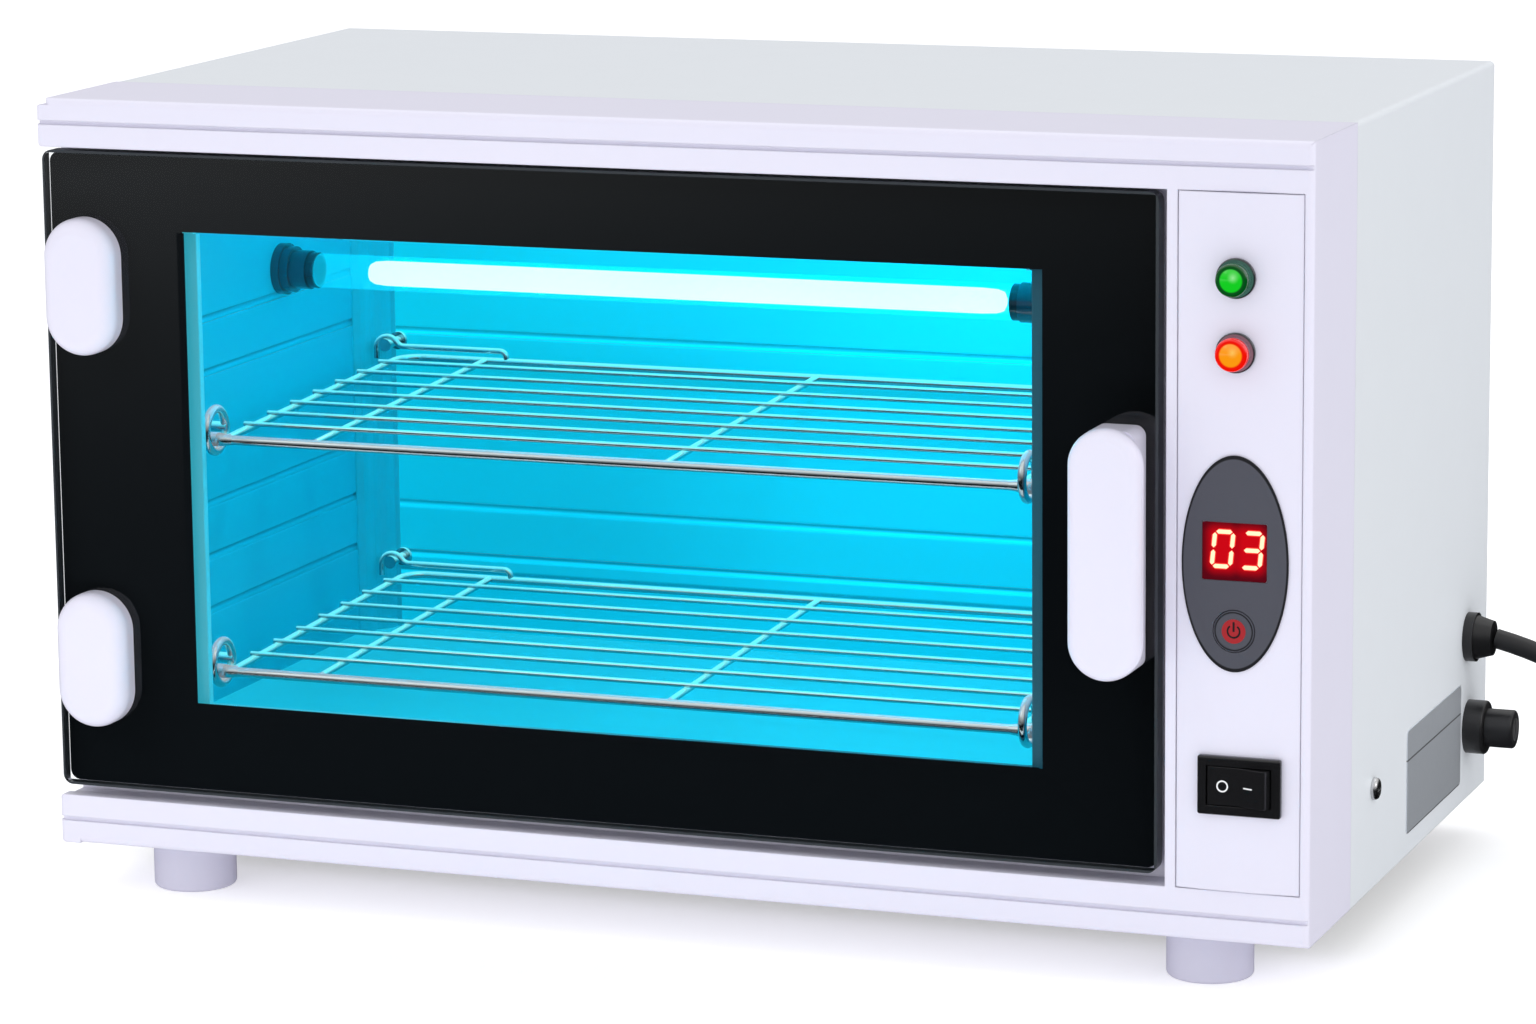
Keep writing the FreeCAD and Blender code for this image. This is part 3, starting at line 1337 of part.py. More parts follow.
def wiring_loom():
    """Leads along the right-hand compartment, each ending against what it feeds."""
    block_x = case_inner_right - sheet - block_gap - block_size[0] / 2
    first_y = bezel_depth + spigot_depth + block_setback + terminal_inset
    last_y = first_y + block_size[1] - 2 * terminal_inset
    top = sheet + block_size[2]
    sx, sy, sz = rocker_pivot()
    tab_x = sx - switch_tab_pitch
    tabs_y = crown_y + switch_body_depth + tab_length
    inner_x = body_width - grommet_barrel
    board_x = controls_x - loom_exit
    board_y = display_depth + board_thickness
    board_z = button_middle + loom_board_rise
    ballast_x = chamber_right + liner + ballast_gap + loom_straight
    ballast_y = bezel_depth + spigot_depth + ballast_setback + ballast_lead
    ballast_top = sheet + ballast_height
    turn_x = inner_x - loom_exit - loom_bend
    leads = [
        [(inner_x - loom_gap, entry_y, entry_z), (inner_x - loom_exit, entry_y, entry_z),
         (turn_x, entry_y - 2 * loom_bend, entry_z - 2 * loom_bend),
         (block_x + loom_lean, last_y + loom_run, top + loom_hump), (block_x, last_y, top + loom_rise),
         (block_x, last_y, top + loom_gap)],
        [(tab_x, tabs_y + loom_gap, sz), (tab_x, tabs_y + loom_straight, sz),
         (tab_x + loom_lean, tabs_y + 2 * loom_straight, sz - loom_exit),
         (block_x - loom_lean, first_y - loom_hump, top + loom_hump), (block_x, first_y, top + loom_rise),
         (block_x, first_y, top + loom_gap)],
        [(board_x, board_y + loom_gap, board_z), (board_x, board_y + loom_straight, board_z),
         (board_x - loom_lean, board_y + 2 * loom_straight, board_z - 2 * loom_bend),
         (board_x - loom_bend, ballast_y - 2 * loom_run, board_z - 5 * loom_bend),
         (ballast_x, ballast_y, ballast_top + loom_hump),
         (ballast_x, ballast_y, ballast_top + loom_gap)],
    ]
    return group([tube(points, loom_radius) for points in leads])


# ---- cord -------------------------------------------------------------------------------------
def coil_exit(radius):
    """Along a tangent of the outermost turn, how far until a bar of this radius is out of the coil."""
    return math.sqrt(coil_outer ** 2 - (coil_turn - radius) ** 2)


def coil_centre():
    """The outermost turn runs on from the route's last run, turning left."""
    last = V(*cord_route[-1])
    heading = (last - V(*cord_route[-2])).normalize()
    left = V(-heading.y, heading.x, 0)
    return last + heading * (coil_exit(cord_radius) + 0.05) + left * coil_turn


def cord_coil():
    centre = coil_centre()
    ring = rod_z(centre.x, centre.y, 0, coil_height, coil_outer)
    ring = ring.cut(rod_z(centre.x, centre.y, -1, coil_height + 1, coil_outer - coil_band))
    return fillet_where(ring, 2.0, lambda m, e: True)


def power_plug():
    """A moulded two-blade plug on the surface, leaving the coil's back tangentially, towards -X."""
    centre = coil_centre()
    length, width, height = plug_body
    neck = rod_x(0, plug_neck, 0, 0, plug_neck_radius)
    body = box(plug_neck, plug_neck + length, -width / 2, width / 2, -height / 2, height / 2)
    body = fillet_where(body, 3.0, lambda m, e: near(m.x, plug_neck + length / 2))
    body = fillet_where(body, 2.0, lambda m, e: near(m.x, plug_neck))
    long, wide, thick = plug_blade
    end = plug_neck + length
    blades = [box(end - 1, end + long, dy - thick / 2, dy + thick / 2, -wide / 2, wide / 2)
              for dy in (-plug_blade_spread / 2, plug_blade_spread / 2)]
    plug = neck.multiFuse([body] + blades)
    plug.rotate(V(0, 0, 0), V(0, 0, 1), 180)
    plug.translate(V(centre.x - coil_exit(plug_neck_radius) - 0.1, centre.y + coil_turn, height / 2))
    return plug


# ---- all pieces -------------------------------------------------------------------------------
def main():
    cup_end, glass_x0, glass_x1, right_foot = lamp_places()
    pieces = {
        "front_bezel": front_bezel(),
        "control_panel": control_panel(),
        "overlay_plate": overlay_plate(),
        "display_window": display_window(),
        "display_module": display_module(),
        "control_board": control_board(),
        "power_button": power_button(),
        "button_switch": button_switch(),
        "green_lamp_lens": pilot_lens(pilot_green_height),
        "orange_lamp_lens": pilot_lens(pilot_orange_height),
        "pilot_lamp_bodies": pilot_bodies(),
        "switch_housing": switch_housing(),
        "switch_rocker": switch_rocker(),
        "switch_terminals": switch_terminals(),
        "outer_case": outer_case(),
        "base_plate": base_plate(),
        "back_panel": back_panel(),
        "case_screws": case_screws(),
        "rating_plate": rating_plate(),
        "chamber_left_wall": chamber_side(chamber_left, -1),
        "chamber_right_wall": chamber_side(chamber_right, 1),
        "chamber_back_wall": chamber_rear(),
        "chamber_floor": chamber_floor(),
        "chamber_ceiling": chamber_ceiling(),
        "upper_shelf": wire_shelf(upper_z),
        "lower_shelf": wire_shelf(lower_z),
        "shelf_eyes": shelf_eyes(),
        "lamp_tube": lamp_tube(),
        "lamp_caps": lamp_caps(),
        "lampholder_left": lampholder(chamber_left, 1),
        "lampholder_right": lampholder(right_foot, -1),
        "lamp_bracket": lamp_bracket(),
        "door_glass": door_glass(),
        "door_border": door_border(),
        "upper_hinge_cover": hinge_cover(hinge_heights[0]),
        "lower_hinge_cover": hinge_cover(hinge_heights[1]),
        "hinge_clamps": group([hinge_clamp(z) for z in hinge_heights]),
        "hinge_brackets": group([hinge_bracket(z) for z in hinge_heights]),
        "hinge_pins": hinge_pins(),
        "hinge_door_screws": door_screws(),
        "hinge_frame_screws": frame_screws(),
        "door_handle": door_handle(),
        "handle_screws": handle_screws(),
        "strike_plate": strike_plate(),
        "magnet_catch": magnet_catch(),
        "door_gasket": door_gasket(),
        "feet": feet(),
        "foot_screws": foot_screws(),
        "cord_grommet": cord_grommet(),
        "fuse_holder": fuse_holder(),
        "fuse_holder_nut": fuse_holder_nut(),
        "fuse_cap": fuse_cap(),
        "fuse_link": fuse_link(),
        "ballast": ballast(),
        "terminal_block": terminal_block(),
        "wiring_loom": wiring_loom(),
    }
    for name, shape in pieces.items():
        export(name, shape)
    export("power_cord", tube(cord_route, cord_radius, "power_cord"), own_frame=True)
    export("cord_coil", cord_coil(), own_frame=True)
    export("power_plug", power_plug(), own_frame=True)
    for name, shape in pieces.items():
        if not shape.isValid() or shape.Volume <= 0:
            print("check", name, "valid", shape.isValid(), "volume", round(shape.Volume, 1))
    print("nodes", len(pieces) + 3, "shift", shift)


main()
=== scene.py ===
"""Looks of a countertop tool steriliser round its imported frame: materials for every piece, the lit
lamp and display, the marks on the controls, the power cord, the studio and the camera."""

import math

import bpy
import numpy as np
from mathutils import Matrix, Vector


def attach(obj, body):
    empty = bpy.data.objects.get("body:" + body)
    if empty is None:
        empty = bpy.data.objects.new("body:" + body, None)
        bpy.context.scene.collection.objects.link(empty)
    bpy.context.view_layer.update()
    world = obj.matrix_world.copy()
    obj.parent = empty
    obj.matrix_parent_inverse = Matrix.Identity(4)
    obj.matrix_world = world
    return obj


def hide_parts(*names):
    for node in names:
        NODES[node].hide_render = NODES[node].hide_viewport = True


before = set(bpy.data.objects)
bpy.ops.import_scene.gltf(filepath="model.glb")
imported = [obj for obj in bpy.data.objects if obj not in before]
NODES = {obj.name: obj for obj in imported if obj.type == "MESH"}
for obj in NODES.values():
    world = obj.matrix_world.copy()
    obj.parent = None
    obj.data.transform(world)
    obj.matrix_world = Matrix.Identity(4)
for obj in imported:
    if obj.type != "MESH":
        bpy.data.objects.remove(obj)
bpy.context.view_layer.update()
MM = 0.001

# From the steriliser's working frame (front of the bands, left end, underside) to the part's own, mm.
SHIFT = np.array([-197.25, -95.4, 15.0])

# Places in the working frame, in mm: x across, y from the front to the back, z up.
LAMP_AXIS = (92.0, 159.5)                 # y and z of the lamp's axis, which runs along X
CHAMBER_LEFT, CHAMBER_RIGHT = 33.0, 310.7
CHAMBER_FLOOR, CHAMBER_CEILING = 36.5, 196.0
CHAMBER_BACK = 155.0
CHAMBER_MIDDLE = (172.0, 85.0, 113.0)
SIDE_BEADS = (64.5, 80.5, 96.5, 135.8, 151.8)     # heights of the beads pressed into the side walls
REAR_BEADS = (55.0, 60.5, 76.5, 131.8, 147.8)     # and into the back wall
FRONT_BAR_BACK, FRONT_BAR_FRONT = 24.0, 22.5      # depths between which the shelves' front bars start
MOUTH = ((172.35, 113.4), (132.2, 75.2))          # rectangles: middle (x, z) and half sizes
GLASS_MARGIN = ((169.0, 111.5), (167.1, 93.2))
WINDOW = ((173.5, 113.25), (129.6, 69.5))
COLUMN_X = 359.0                          # middle of the lenses, the oval overlay and the button
GREEN_LENS_Z, ORANGE_LENS_Z = 183.4, 163.3
OVAL_Z, OVAL_HALF = 105.7, (14.9, 29.7)
BUTTON = np.array([COLUMN_X, 87.3])
FUSE_AXIS = (183.0, 22.0)                 # y and z


def place(x, y, z):
    """A point of the working frame, in metres of the part's own frame."""
    return tuple(((np.array([x, y, z]) + SHIFT) * MM).tolist())


def rgb(red, green, blue):
    """An opaque colour."""
    return (red, green, blue, 1.0)


def link_object(name, data):
    """A new object of the scene on the given data."""
    made = bpy.data.objects.new(name, data)
    bpy.context.scene.collection.objects.link(made)
    return made


# ---- camera -----------------------------------------------------------------------------------
CAMERA_SPOT = (755.867, -1399.461, 398.734)
CAMERA_YAW, CAMERA_PITCH, CAMERA_ROLL = 0.3628, -0.1892, 0.0105      # radians
LENS, SENSOR_WIDTH = 128.745, 36.0


def make_camera():
    """The viewing camera, slightly above the top and well to the right of the middle."""
    turn = Matrix.Rotation(CAMERA_YAW, 3, "Z") @ Matrix.Rotation(CAMERA_PITCH, 3, "X")
    turn = turn @ Matrix.Rotation(CAMERA_ROLL, 3, "Y")
    right, forward, up = turn.col[0], turn.col[1], turn.col[2]
    data = bpy.data.cameras.new("studio_camera")
    data.sensor_width = SENSOR_WIDTH
    data.lens = LENS
    data.clip_start = 0.05
    camera = link_object("studio_camera", data)
    basis = Matrix((right, up, -forward)).transposed().to_4x4()
    camera.matrix_world = Matrix.Translation(place(*CAMERA_SPOT)) @ basis
    bpy.context.scene.camera = camera
    bpy.context.scene.view_settings.view_transform = "Standard"


# ---- nodes ------------------------------------------------------------------------------------
def feed(tree, socket, value):
    """Links an output to a socket, or sets the socket to a number, a vector or a colour."""
    if isinstance(value, bpy.types.NodeSocket):
        tree.links.new(value, socket)
    else:
        socket.default_value = value


def fill(tree, node, **settings):
    """Sets properties of a node and, by their names with _ for a space, feeds its input sockets."""
    for key, value in settings.items():
        if hasattr(node, key):
            setattr(node, key, value)
        else:
            feed(tree, node.inputs[key.replace("_", " ")], value)
    return node


def add(tree, kind, **settings):
    """A new node, with its properties and inputs filled."""
    return fill(tree, tree.nodes.new(kind), **settings)


def math_node(tree, operation, *values):
    """A Math node of sockets or numbers; returns its output."""
    node = add(tree, "ShaderNodeMath", operation=operation)
    for socket, value in zip(node.inputs, values):
        feed(tree, socket, value)
    return node.outputs[0]


def vector_node(tree, operation, *values):
    """A Vector Math node of sockets or vectors; returns its outputs."""
    node = add(tree, "ShaderNodeVectorMath", operation=operation)
    for socket, value in zip(node.inputs, values):
        feed(tree, socket, value)
    return node.outputs


def ranged(tree, value, low, high, to_low=0.0, to_high=1.0, **settings):
    """A value carried from the range low to high onto to_low to to_high, and held inside it."""
    node = add(tree, "ShaderNodeMapRange", Value=value, From_Min=low, From_Max=high, To_Min=to_low,
               To_Max=to_high, **settings)
    return node.outputs["Result"]


def own_spot(tree):
    """Object coordinates of the shaded point."""
    return add(tree, "ShaderNodeTexCoord").outputs["Object"]


def own_axes(tree):
    """Object coordinates, as the sockets X, Y and Z."""
    return add(tree, "ShaderNodeSeparateXYZ", Vector=own_spot(tree)).outputs


def depth_mask(tree, near, far):
    """0 behind depth near, 1 in front of depth far (both in mm, along Y), a straight slope between."""
    return ranged(tree, own_axes(tree)["Y"], place(0, near, 0)[1], place(0, far, 0)[1])


def mix_color(tree, mask, a, b):
    """Colour a where the mask is 0 and b where it is 1; a and b are sockets or colours."""
    node = add(tree, "ShaderNodeMix", data_type="RGBA")
    feed(tree, node.inputs["Factor"], mask)
    feed(tree, node.inputs[6], a)
    feed(tree, node.inputs[7], b)
    return node.outputs[2]


def mix_shader(tree, mask, a, b):
    """A Mix Shader node: node a's shader where the mask is 0 and node b's where it is 1."""
    node = add(tree, "ShaderNodeMixShader", Fac=mask)
    tree.links.new(a.outputs[0], node.inputs[1])
    tree.links.new(b.outputs[0], node.inputs[2])
    return node


# ---- node groups ------------------------------------------------------------------------------
SOCKET_OF_LENGTH = {3: "NodeSocketVector", 4: "NodeSocketColor"}


def new_group(name, inputs, **outputs):
    """A shader node group with inputs {name: default}, whose kind follows the default's length, and
    outputs name=kind of socket. Returns the tree, the sockets that come in and the output node."""
    tree = bpy.data.node_groups.new(name, "ShaderNodeTree")
    for label, value in inputs.items():
        kind = SOCKET_OF_LENGTH[len(value)] if isinstance(value, tuple) else "NodeSocketFloat"
        socket = tree.interface.new_socket(label, in_out="INPUT", socket_type=kind)
        socket.default_value = value
    for label, kind in outputs.items():
        tree.interface.new_socket(label, in_out="OUTPUT", socket_type=kind)
    return tree, tree.nodes.new("NodeGroupInput").outputs, tree.nodes.new("NodeGroupOutput")


def build_moulded_surface():
    """Slight mottling of a colour, uneven gloss and a soft ripple of moulded or painted skin."""
    tree, given, out = new_group(
        "moulded_surface",
        {"Color": rgb(0.8, 0.8, 0.8), "Mottle": 0.02, "Scale": 60.0, "Gloss Low": 0.3, "Gloss High": 0.4,
         "Ripple": 0.5},
        Color="NodeSocketColor", Roughness="NodeSocketFloat", Height="NodeSocketFloat")
    spot = own_spot(tree)
    broad = add(tree, "ShaderNodeTexNoise", Vector=spot, Scale=given["Scale"], Detail=4.0, Roughness=0.55)
    fine_scale = math_node(tree, "MULTIPLY", given["Scale"], 14.0)
    fine = add(tree, "ShaderNodeTexNoise", Vector=spot, Scale=fine_scale, Detail=2.0).outputs["Fac"]
    centred = math_node(tree, "SUBTRACT", broad.outputs["Fac"], 0.5)
    value = math_node(tree, "ADD", math_node(tree, "MULTIPLY", centred, given["Mottle"]), 1.0)
    shade = add(tree, "ShaderNodeHueSaturation", Color=given["Color"], Value=value)
    fill(tree, out, Color=shade.outputs["Color"],
         Roughness=ranged(tree, fine, 0.0, 1.0, given["Gloss Low"], given["Gloss High"]),
         Height=math_node(tree, "MULTIPLY", fine, given["Ripple"]))
    return tree


def build_radial_mask():
    """1 inside a radius about an axis through a point, 0 outside, with a soft rim. The plane's 0 leaves
    out the coordinate along the axis: (1, 0, 1) measures in the XZ plane."""
    tree, given, out = new_group(
        "radial_mask", {"Centre": (0.0, 0.0, 0.0), "Plane": (1.0, 0.0, 1.0), "Radius": 0.01, "Soft": 0.0005},
        Mask="NodeSocketFloat")
    away = vector_node(tree, "SUBTRACT", own_spot(tree), given["Centre"])["Vector"]
    flat = vector_node(tree, "MULTIPLY", away, given["Plane"])["Vector"]
    reach = vector_node(tree, "LENGTH", flat)["Value"]
    inner = math_node(tree, "SUBTRACT", given["Radius"], given["Soft"])
    outer = math_node(tree, "ADD", given["Radius"], given["Soft"])
    fill(tree, out, Mask=ranged(tree, reach, inner, outer, 1.0, 0.0, interpolation_type="SMOOTHSTEP"))
    return tree


def build_box_mask():
    """1 inside a rectangle of the XZ plane, given by centre and half sizes, 0 outside, soft edges."""
    tree, given, out = new_group(
        "box_mask", {"Centre X": 0.0, "Centre Z": 0.0, "Half X": 0.01, "Half Z": 0.01, "Soft": 0.0005},
        Mask="NodeSocketFloat")
    axes = own_axes(tree)
    squares = []
    for axis in "XZ":
        away = math_node(tree, "SUBTRACT", axes[axis], given["Centre " + axis])
        over = math_node(tree, "SUBTRACT", math_node(tree, "ABSOLUTE", away), given["Half " + axis])
        over = math_node(tree, "MAXIMUM", over, 0.0)
        squares.append(math_node(tree, "MULTIPLY", over, over))
    beyond = math_node(tree, "SQRT", math_node(tree, "ADD", *squares))
    fill(tree, out, Mask=ranged(tree, beyond, 0.0, given["Soft"], 1.0, 0.0, interpolation_type="SMOOTHSTEP"))
    return tree


MOULDED = build_moulded_surface()
RADIAL = build_radial_mask()
BOXED = build_box_mask()
SEEN_FROM_FRONT, SEEN_FROM_END = (1, 0, 1), (0, 1, 1)     # planes that a radial mask measures in


def round_mask(tree, centre, plane, radius, soft):
    """The radial mask about a point, with its radius and soft rim, all in mm."""
    node = add(tree, "ShaderNodeGroup", node_tree=RADIAL, Centre=place(*centre), Plane=plane,
               Radius=radius * MM, Soft=soft * MM)
    return node.outputs["Mask"]


def box_mask(tree, middle, half, soft):
    """The box mask about a middle (x, z), with its half sizes and soft edge, all in mm."""
    x, _, z = place(middle[0], 0, middle[1])
    node = add(tree, "ShaderNodeGroup", node_tree=BOXED, Centre_X=x, Centre_Z=z, Half_X=half[0] * MM,
               Half_Z=half[1] * MM, Soft=soft * MM)
    return node.outputs["Mask"]


# ---- materials --------------------------------------------------------------------------------
LAVENDER = rgb(0.77, 0.75, 0.865)
BLACK = rgb(0.0, 0.0, 0.0)
BARE_METAL = rgb(0.62, 0.62, 0.64)
ZINC = rgb(0.56, 0.58, 0.6)


def blank_material(name):
    """A material with one Principled shader; returns material, tree and shader."""
    material = bpy.data.materials.new(name)
    material.use_nodes = True
    tree = material.node_tree
    return material, tree, tree.nodes["Principled BSDF"]


def show_surface(tree, node):
    """The node's shader as the material's surface."""
    tree.links.new(node.outputs[0], tree.nodes["Material Output"].inputs["Surface"])


def surfaced(name, color, gloss=(0.3, 0.4), mottle=0.03, scale=60.0, ripple=0.5, bump=0.00002,
             metallic=0.0, coat=0.0, soften=0.0, specular=0.5):
    """A material on the moulded_surface group; soften rounds sharp edges over that many metres. Returns
    material, tree, shader and the socket with the mottled colour."""
    material, tree, shader = blank_material(name)
    skin = add(tree, "ShaderNodeGroup", node_tree=MOULDED, Color=color, Mottle=mottle, Scale=scale,
               Gloss_Low=gloss[0], Gloss_High=gloss[1], Ripple=ripple).outputs
    relief = add(tree, "ShaderNodeBump", Distance=bump, Strength=0.6, Height=skin["Height"])
    if soften:
        edge = add(tree, "ShaderNodeBevel", samples=4, Radius=soften)
        tree.links.new(edge.outputs["Normal"], relief.inputs["Normal"])
    fill(tree, shader, Base_Color=skin["Color"], Roughness=skin["Roughness"], Normal=relief.outputs["Normal"],
         Metallic=metallic, Coat_Weight=coat, Coat_Roughness=0.08, Specular_IOR_Level=specular)
    return material, tree, shader, skin["Color"]


def glass_material(name, tint, roughness=0.0, margin=None, window=None):
    """Clear glass that lets light through to what stands behind it. Outside the margin, a middle (x, z)
    and half sizes in mm, it is opaque and dark, a painted shade of the dark gap seen behind the glass's
    edge. Inside the window, given the same way, it is bloomed and reflects little."""
    material, tree, shader = blank_material(name)
    pane = fill(tree, shader, Base_Color=tint, Transmission_Weight=1.0, Roughness=roughness, IOR=1.45)
    if window:
        bloomed = add(tree, "ShaderNodeBsdfPrincipled", Base_Color=tint, Roughness=roughness, IOR=1.15,
                      Transmission_Weight=1.0, Specular_IOR_Level=0.06)
        pane = mix_shader(tree, box_mask(tree, *window, soft=0.3), shader, bloomed)
    clear = add(tree, "ShaderNodeBsdfTransparent", Color=tint)
    path = add(tree, "ShaderNodeLightPath")
    finish = mix_shader(tree, path.outputs["Is Shadow Ray"], pane, clear)
    if margin:
        # Painted shade: the dark gap seen behind the glass's edge, drawn as an opaque dark margin.
        edge_gap_shade = add(tree, "ShaderNodeBsdfPrincipled", Base_Color=rgb(0.035, 0.042, 0.05), Roughness=0.35)
        finish = mix_shader(tree, box_mask(tree, *margin, soft=0.1), edge_gap_shade, finish)
    show_surface(tree, finish)
    return material


def lit_lens(name, z, colors):
    """A pilot lamp's lens with its axis at height z, lit from inside: a hot spot, a bright disc and a deep
    rim on its front, and a smoky clear barrel and flange behind, dark at the flange's edge. Colors: hot,
    bright, rim, barrel."""
    hot, bright, rim, barrel = colors
    material, tree, shader = surfaced(name, barrel, gloss=(0.06, 0.1), bump=0.0)[:3]
    centre = (COLUMN_X, 0, z)
    upper_right = (COLUMN_X + 0.7, 0, z + 0.9)
    face = round_mask(tree, centre, SEEN_FROM_FRONT, radius=3.1, soft=0.3)
    spot = round_mask(tree, upper_right, SEEN_FROM_FRONT, radius=0.3, soft=1.6)
    flange = round_mask(tree, centre, SEEN_FROM_FRONT, radius=5.1, soft=0.2)
    front = mix_color(tree, spot, mix_color(tree, face, rim, bright), hot)
    body = mix_color(tree, flange, rgb(0.01, 0.012, 0.014), barrel)
    lit = depth_mask(tree, -3.4, -4.4)
    fill(tree, shader, Base_Color=mix_color(tree, lit, body, BLACK),
         Emission_Color=mix_color(tree, lit, BLACK, front), Emission_Strength=1.0, Coat_Weight=0.6)
    return material


def lamp_tube_material():
    """Thin clear glass with a cyan glow, through which the discharge shows."""
    material, tree, shader = surfaced("uv_tube", rgb(0.02, 0.55, 0.7), gloss=(0.05, 0.09), bump=0.0)[:3]
    fill(tree, shader, Emission_Color=rgb(0.0, 0.62, 0.85), Emission_Strength=0.85, Alpha=0.3,
         Coat_Weight=0.5)
    return material


def discharge_material():
    """The lit column inside the tube: white with a slight blue-green cast, a little uneven along it. It
    throws cyan light on matt surfaces."""
    material, tree, shader = blank_material("discharge")
    flicker = add(tree, "ShaderNodeTexNoise", Vector=own_spot(tree), Scale=22.0, Detail=2.0)
    tone = mix_color(tree, flicker.outputs["Fac"], rgb(0.80, 1.0, 1.0), rgb(1.0, 1.0, 1.0))
    path = add(tree, "ShaderNodeLightPath")
    seen = mix_color(tree, path.outputs["Is Diffuse Ray"], tone, rgb(0.0, 0.62, 0.8))
    fill(tree, shader, Base_Color=rgb(0.5, 0.9, 0.95), Emission_Color=seen, Emission_Strength=1.25)
    return material


def inner_side(tree):
    """1 on faces turned towards the middle of the chamber, 0 on the sheets' outer faces."""
    geometry = add(tree, "ShaderNodeNewGeometry").outputs
    inward = vector_node(tree, "SUBTRACT", place(*CHAMBER_MIDDLE), geometry["Position"])["Vector"]
    product = vector_node(tree, "DOT_PRODUCT", inward, geometry["Normal"])["Value"]
    return math_node(tree, "GREATER_THAN", product, 0.0)


PLAIN_SHEET = 0.5
# A bead's painted shade and highlight tones, each at its height above the bead's middle in mm: a painted
# highlight below, painted shade above.
BEAD_SHADE_TONES = ((-1.6, PLAIN_SHEET), (-1.0, 1.0), (-0.3, 0.9), (0.2, 0.05), (0.8, 0.1), (1.3, PLAIN_SHEET))


def bead_shade_lines(tree, heights):
    """Over the height: 0.5 on plain sheet, 0 for the painted shade on the upper flank of each pressed bead
    and 1 for the painted highlight on its lower flank."""
    floor, ceiling = place(0, 0, CHAMBER_FLOOR)[2], place(0, 0, CHAMBER_CEILING)[2]
    ramp = add(tree, "ShaderNodeValToRGB", Fac=ranged(tree, own_axes(tree)["Z"], floor, ceiling))
    stops = [(CHAMBER_FLOOR, PLAIN_SHEET)]
    stops += [(z + rise, tone) for z in heights for rise, tone in BEAD_SHADE_TONES]
    stops.append((CHAMBER_CEILING, PLAIN_SHEET))
    places = ramp.color_ramp.elements
    places.remove(places[1])
    for index, (z, tone) in enumerate(stops):
        share = (z - CHAMBER_FLOOR) / (CHAMBER_CEILING - CHAMBER_FLOOR)
        stop = places[0] if index == 0 else places.new(share)
        stop.position = share
        stop.color = rgb(tone, tone, tone)
    return ramp.outputs["Color"]


def chamber_material(name, low, high, heights=(), front_light=0.0, rightward=0.0):
    """Chamber sheet whose blue-green base colour and glow are painted light, standing in for the lamp's
    cyan light on a pale sheet: the glow goes from low to high towards the lamp's axis, rightward times as
    bright at the right end, front_light brighter at the front, with soft cloudy patches and, on pressed
    sheet, a painted shade line above and a painted highlight line below each bead. Its outer faces are zinc."""
    # The blue-green base colour is painted light: the lamp's cyan light on a pale sheet.
    material, tree, shader, skin = surfaced(name, rgb(0.006, 0.34, 0.43), gloss=(0.44, 0.46), mottle=0.04,
                                            scale=7, ripple=0.2, bump=0.0, specular=0.25)
    cloud = add(tree, "ShaderNodeTexNoise", Vector=own_spot(tree), Scale=9.0, Detail=0.0)
    level = ranged(tree, cloud.outputs["Fac"], 0.2, 0.8, to_low=0.78, to_high=1.22)
    if rightward:
        left, right = place(60, 0, 0)[0], place(250, 0, 0)[0]
        growth = ranged(tree, own_axes(tree)["X"], left, right, to_low=1.0, to_high=rightward)
        level = math_node(tree, "MULTIPLY", level, growth)
    if front_light:
        forward = math_node(tree, "MULTIPLY", depth_mask(tree, 70.0, 10.0), front_light)
        level = math_node(tree, "ADD", level, forward)
    # Painted shade above and painted highlight below each bead, laid over the glow.
    if heights:
        gain = ranged(tree, bead_shade_lines(tree, heights), 0.0, 1.0, to_low=0.1, to_high=1.9)
        level = math_node(tree, "MULTIPLY", level, gain)
    inside = inner_side(tree)
    near_lamp = round_mask(tree, (0, *LAMP_AXIS), SEEN_FROM_END, radius=35, soft=85)
    glow = add(tree, "ShaderNodeVectorMath", operation="SCALE", Vector=mix_color(tree, near_lamp, low, high),
               Scale=math_node(tree, "MULTIPLY", level, inside))
    fill(tree, shader, Base_Color=mix_color(tree, inside, ZINC, skin), Emission_Color=glow.outputs["Vector"],
         Emission_Strength=1.0)
    return material


def wire_material():
    """Bright plated wire with a painted glow on its upper side, standing in for the light that falls on it:
    blue-green lamp light inside the chamber and neutral room light on the front bars, which face the room."""
    material, tree, shader = surfaced("shelf_chrome", rgb(0.42, 0.47, 0.49), gloss=(0.10, 0.16),
                                      mottle=0.15, scale=200, metallic=1.0, bump=0.000002)[:3]
    normal = add(tree, "ShaderNodeNewGeometry").outputs["Normal"]
    height = add(tree, "ShaderNodeSeparateXYZ", Vector=normal).outputs["Z"]
    front = depth_mask(tree, FRONT_BAR_BACK, FRONT_BAR_FRONT)
    # Painted light on the upper side: blue-green lamp light inside the chamber, neutral room light on the
    # front bars.
    tone = mix_color(tree, front, rgb(0.22, 0.95, 1.0), rgb(0.42, 0.40, 0.40))
    glow = mix_color(tree, ranged(tree, height, 0.05, 0.7), BLACK, tone)
    fill(tree, shader, Emission_Color=glow, Emission_Strength=0.75)
    return material


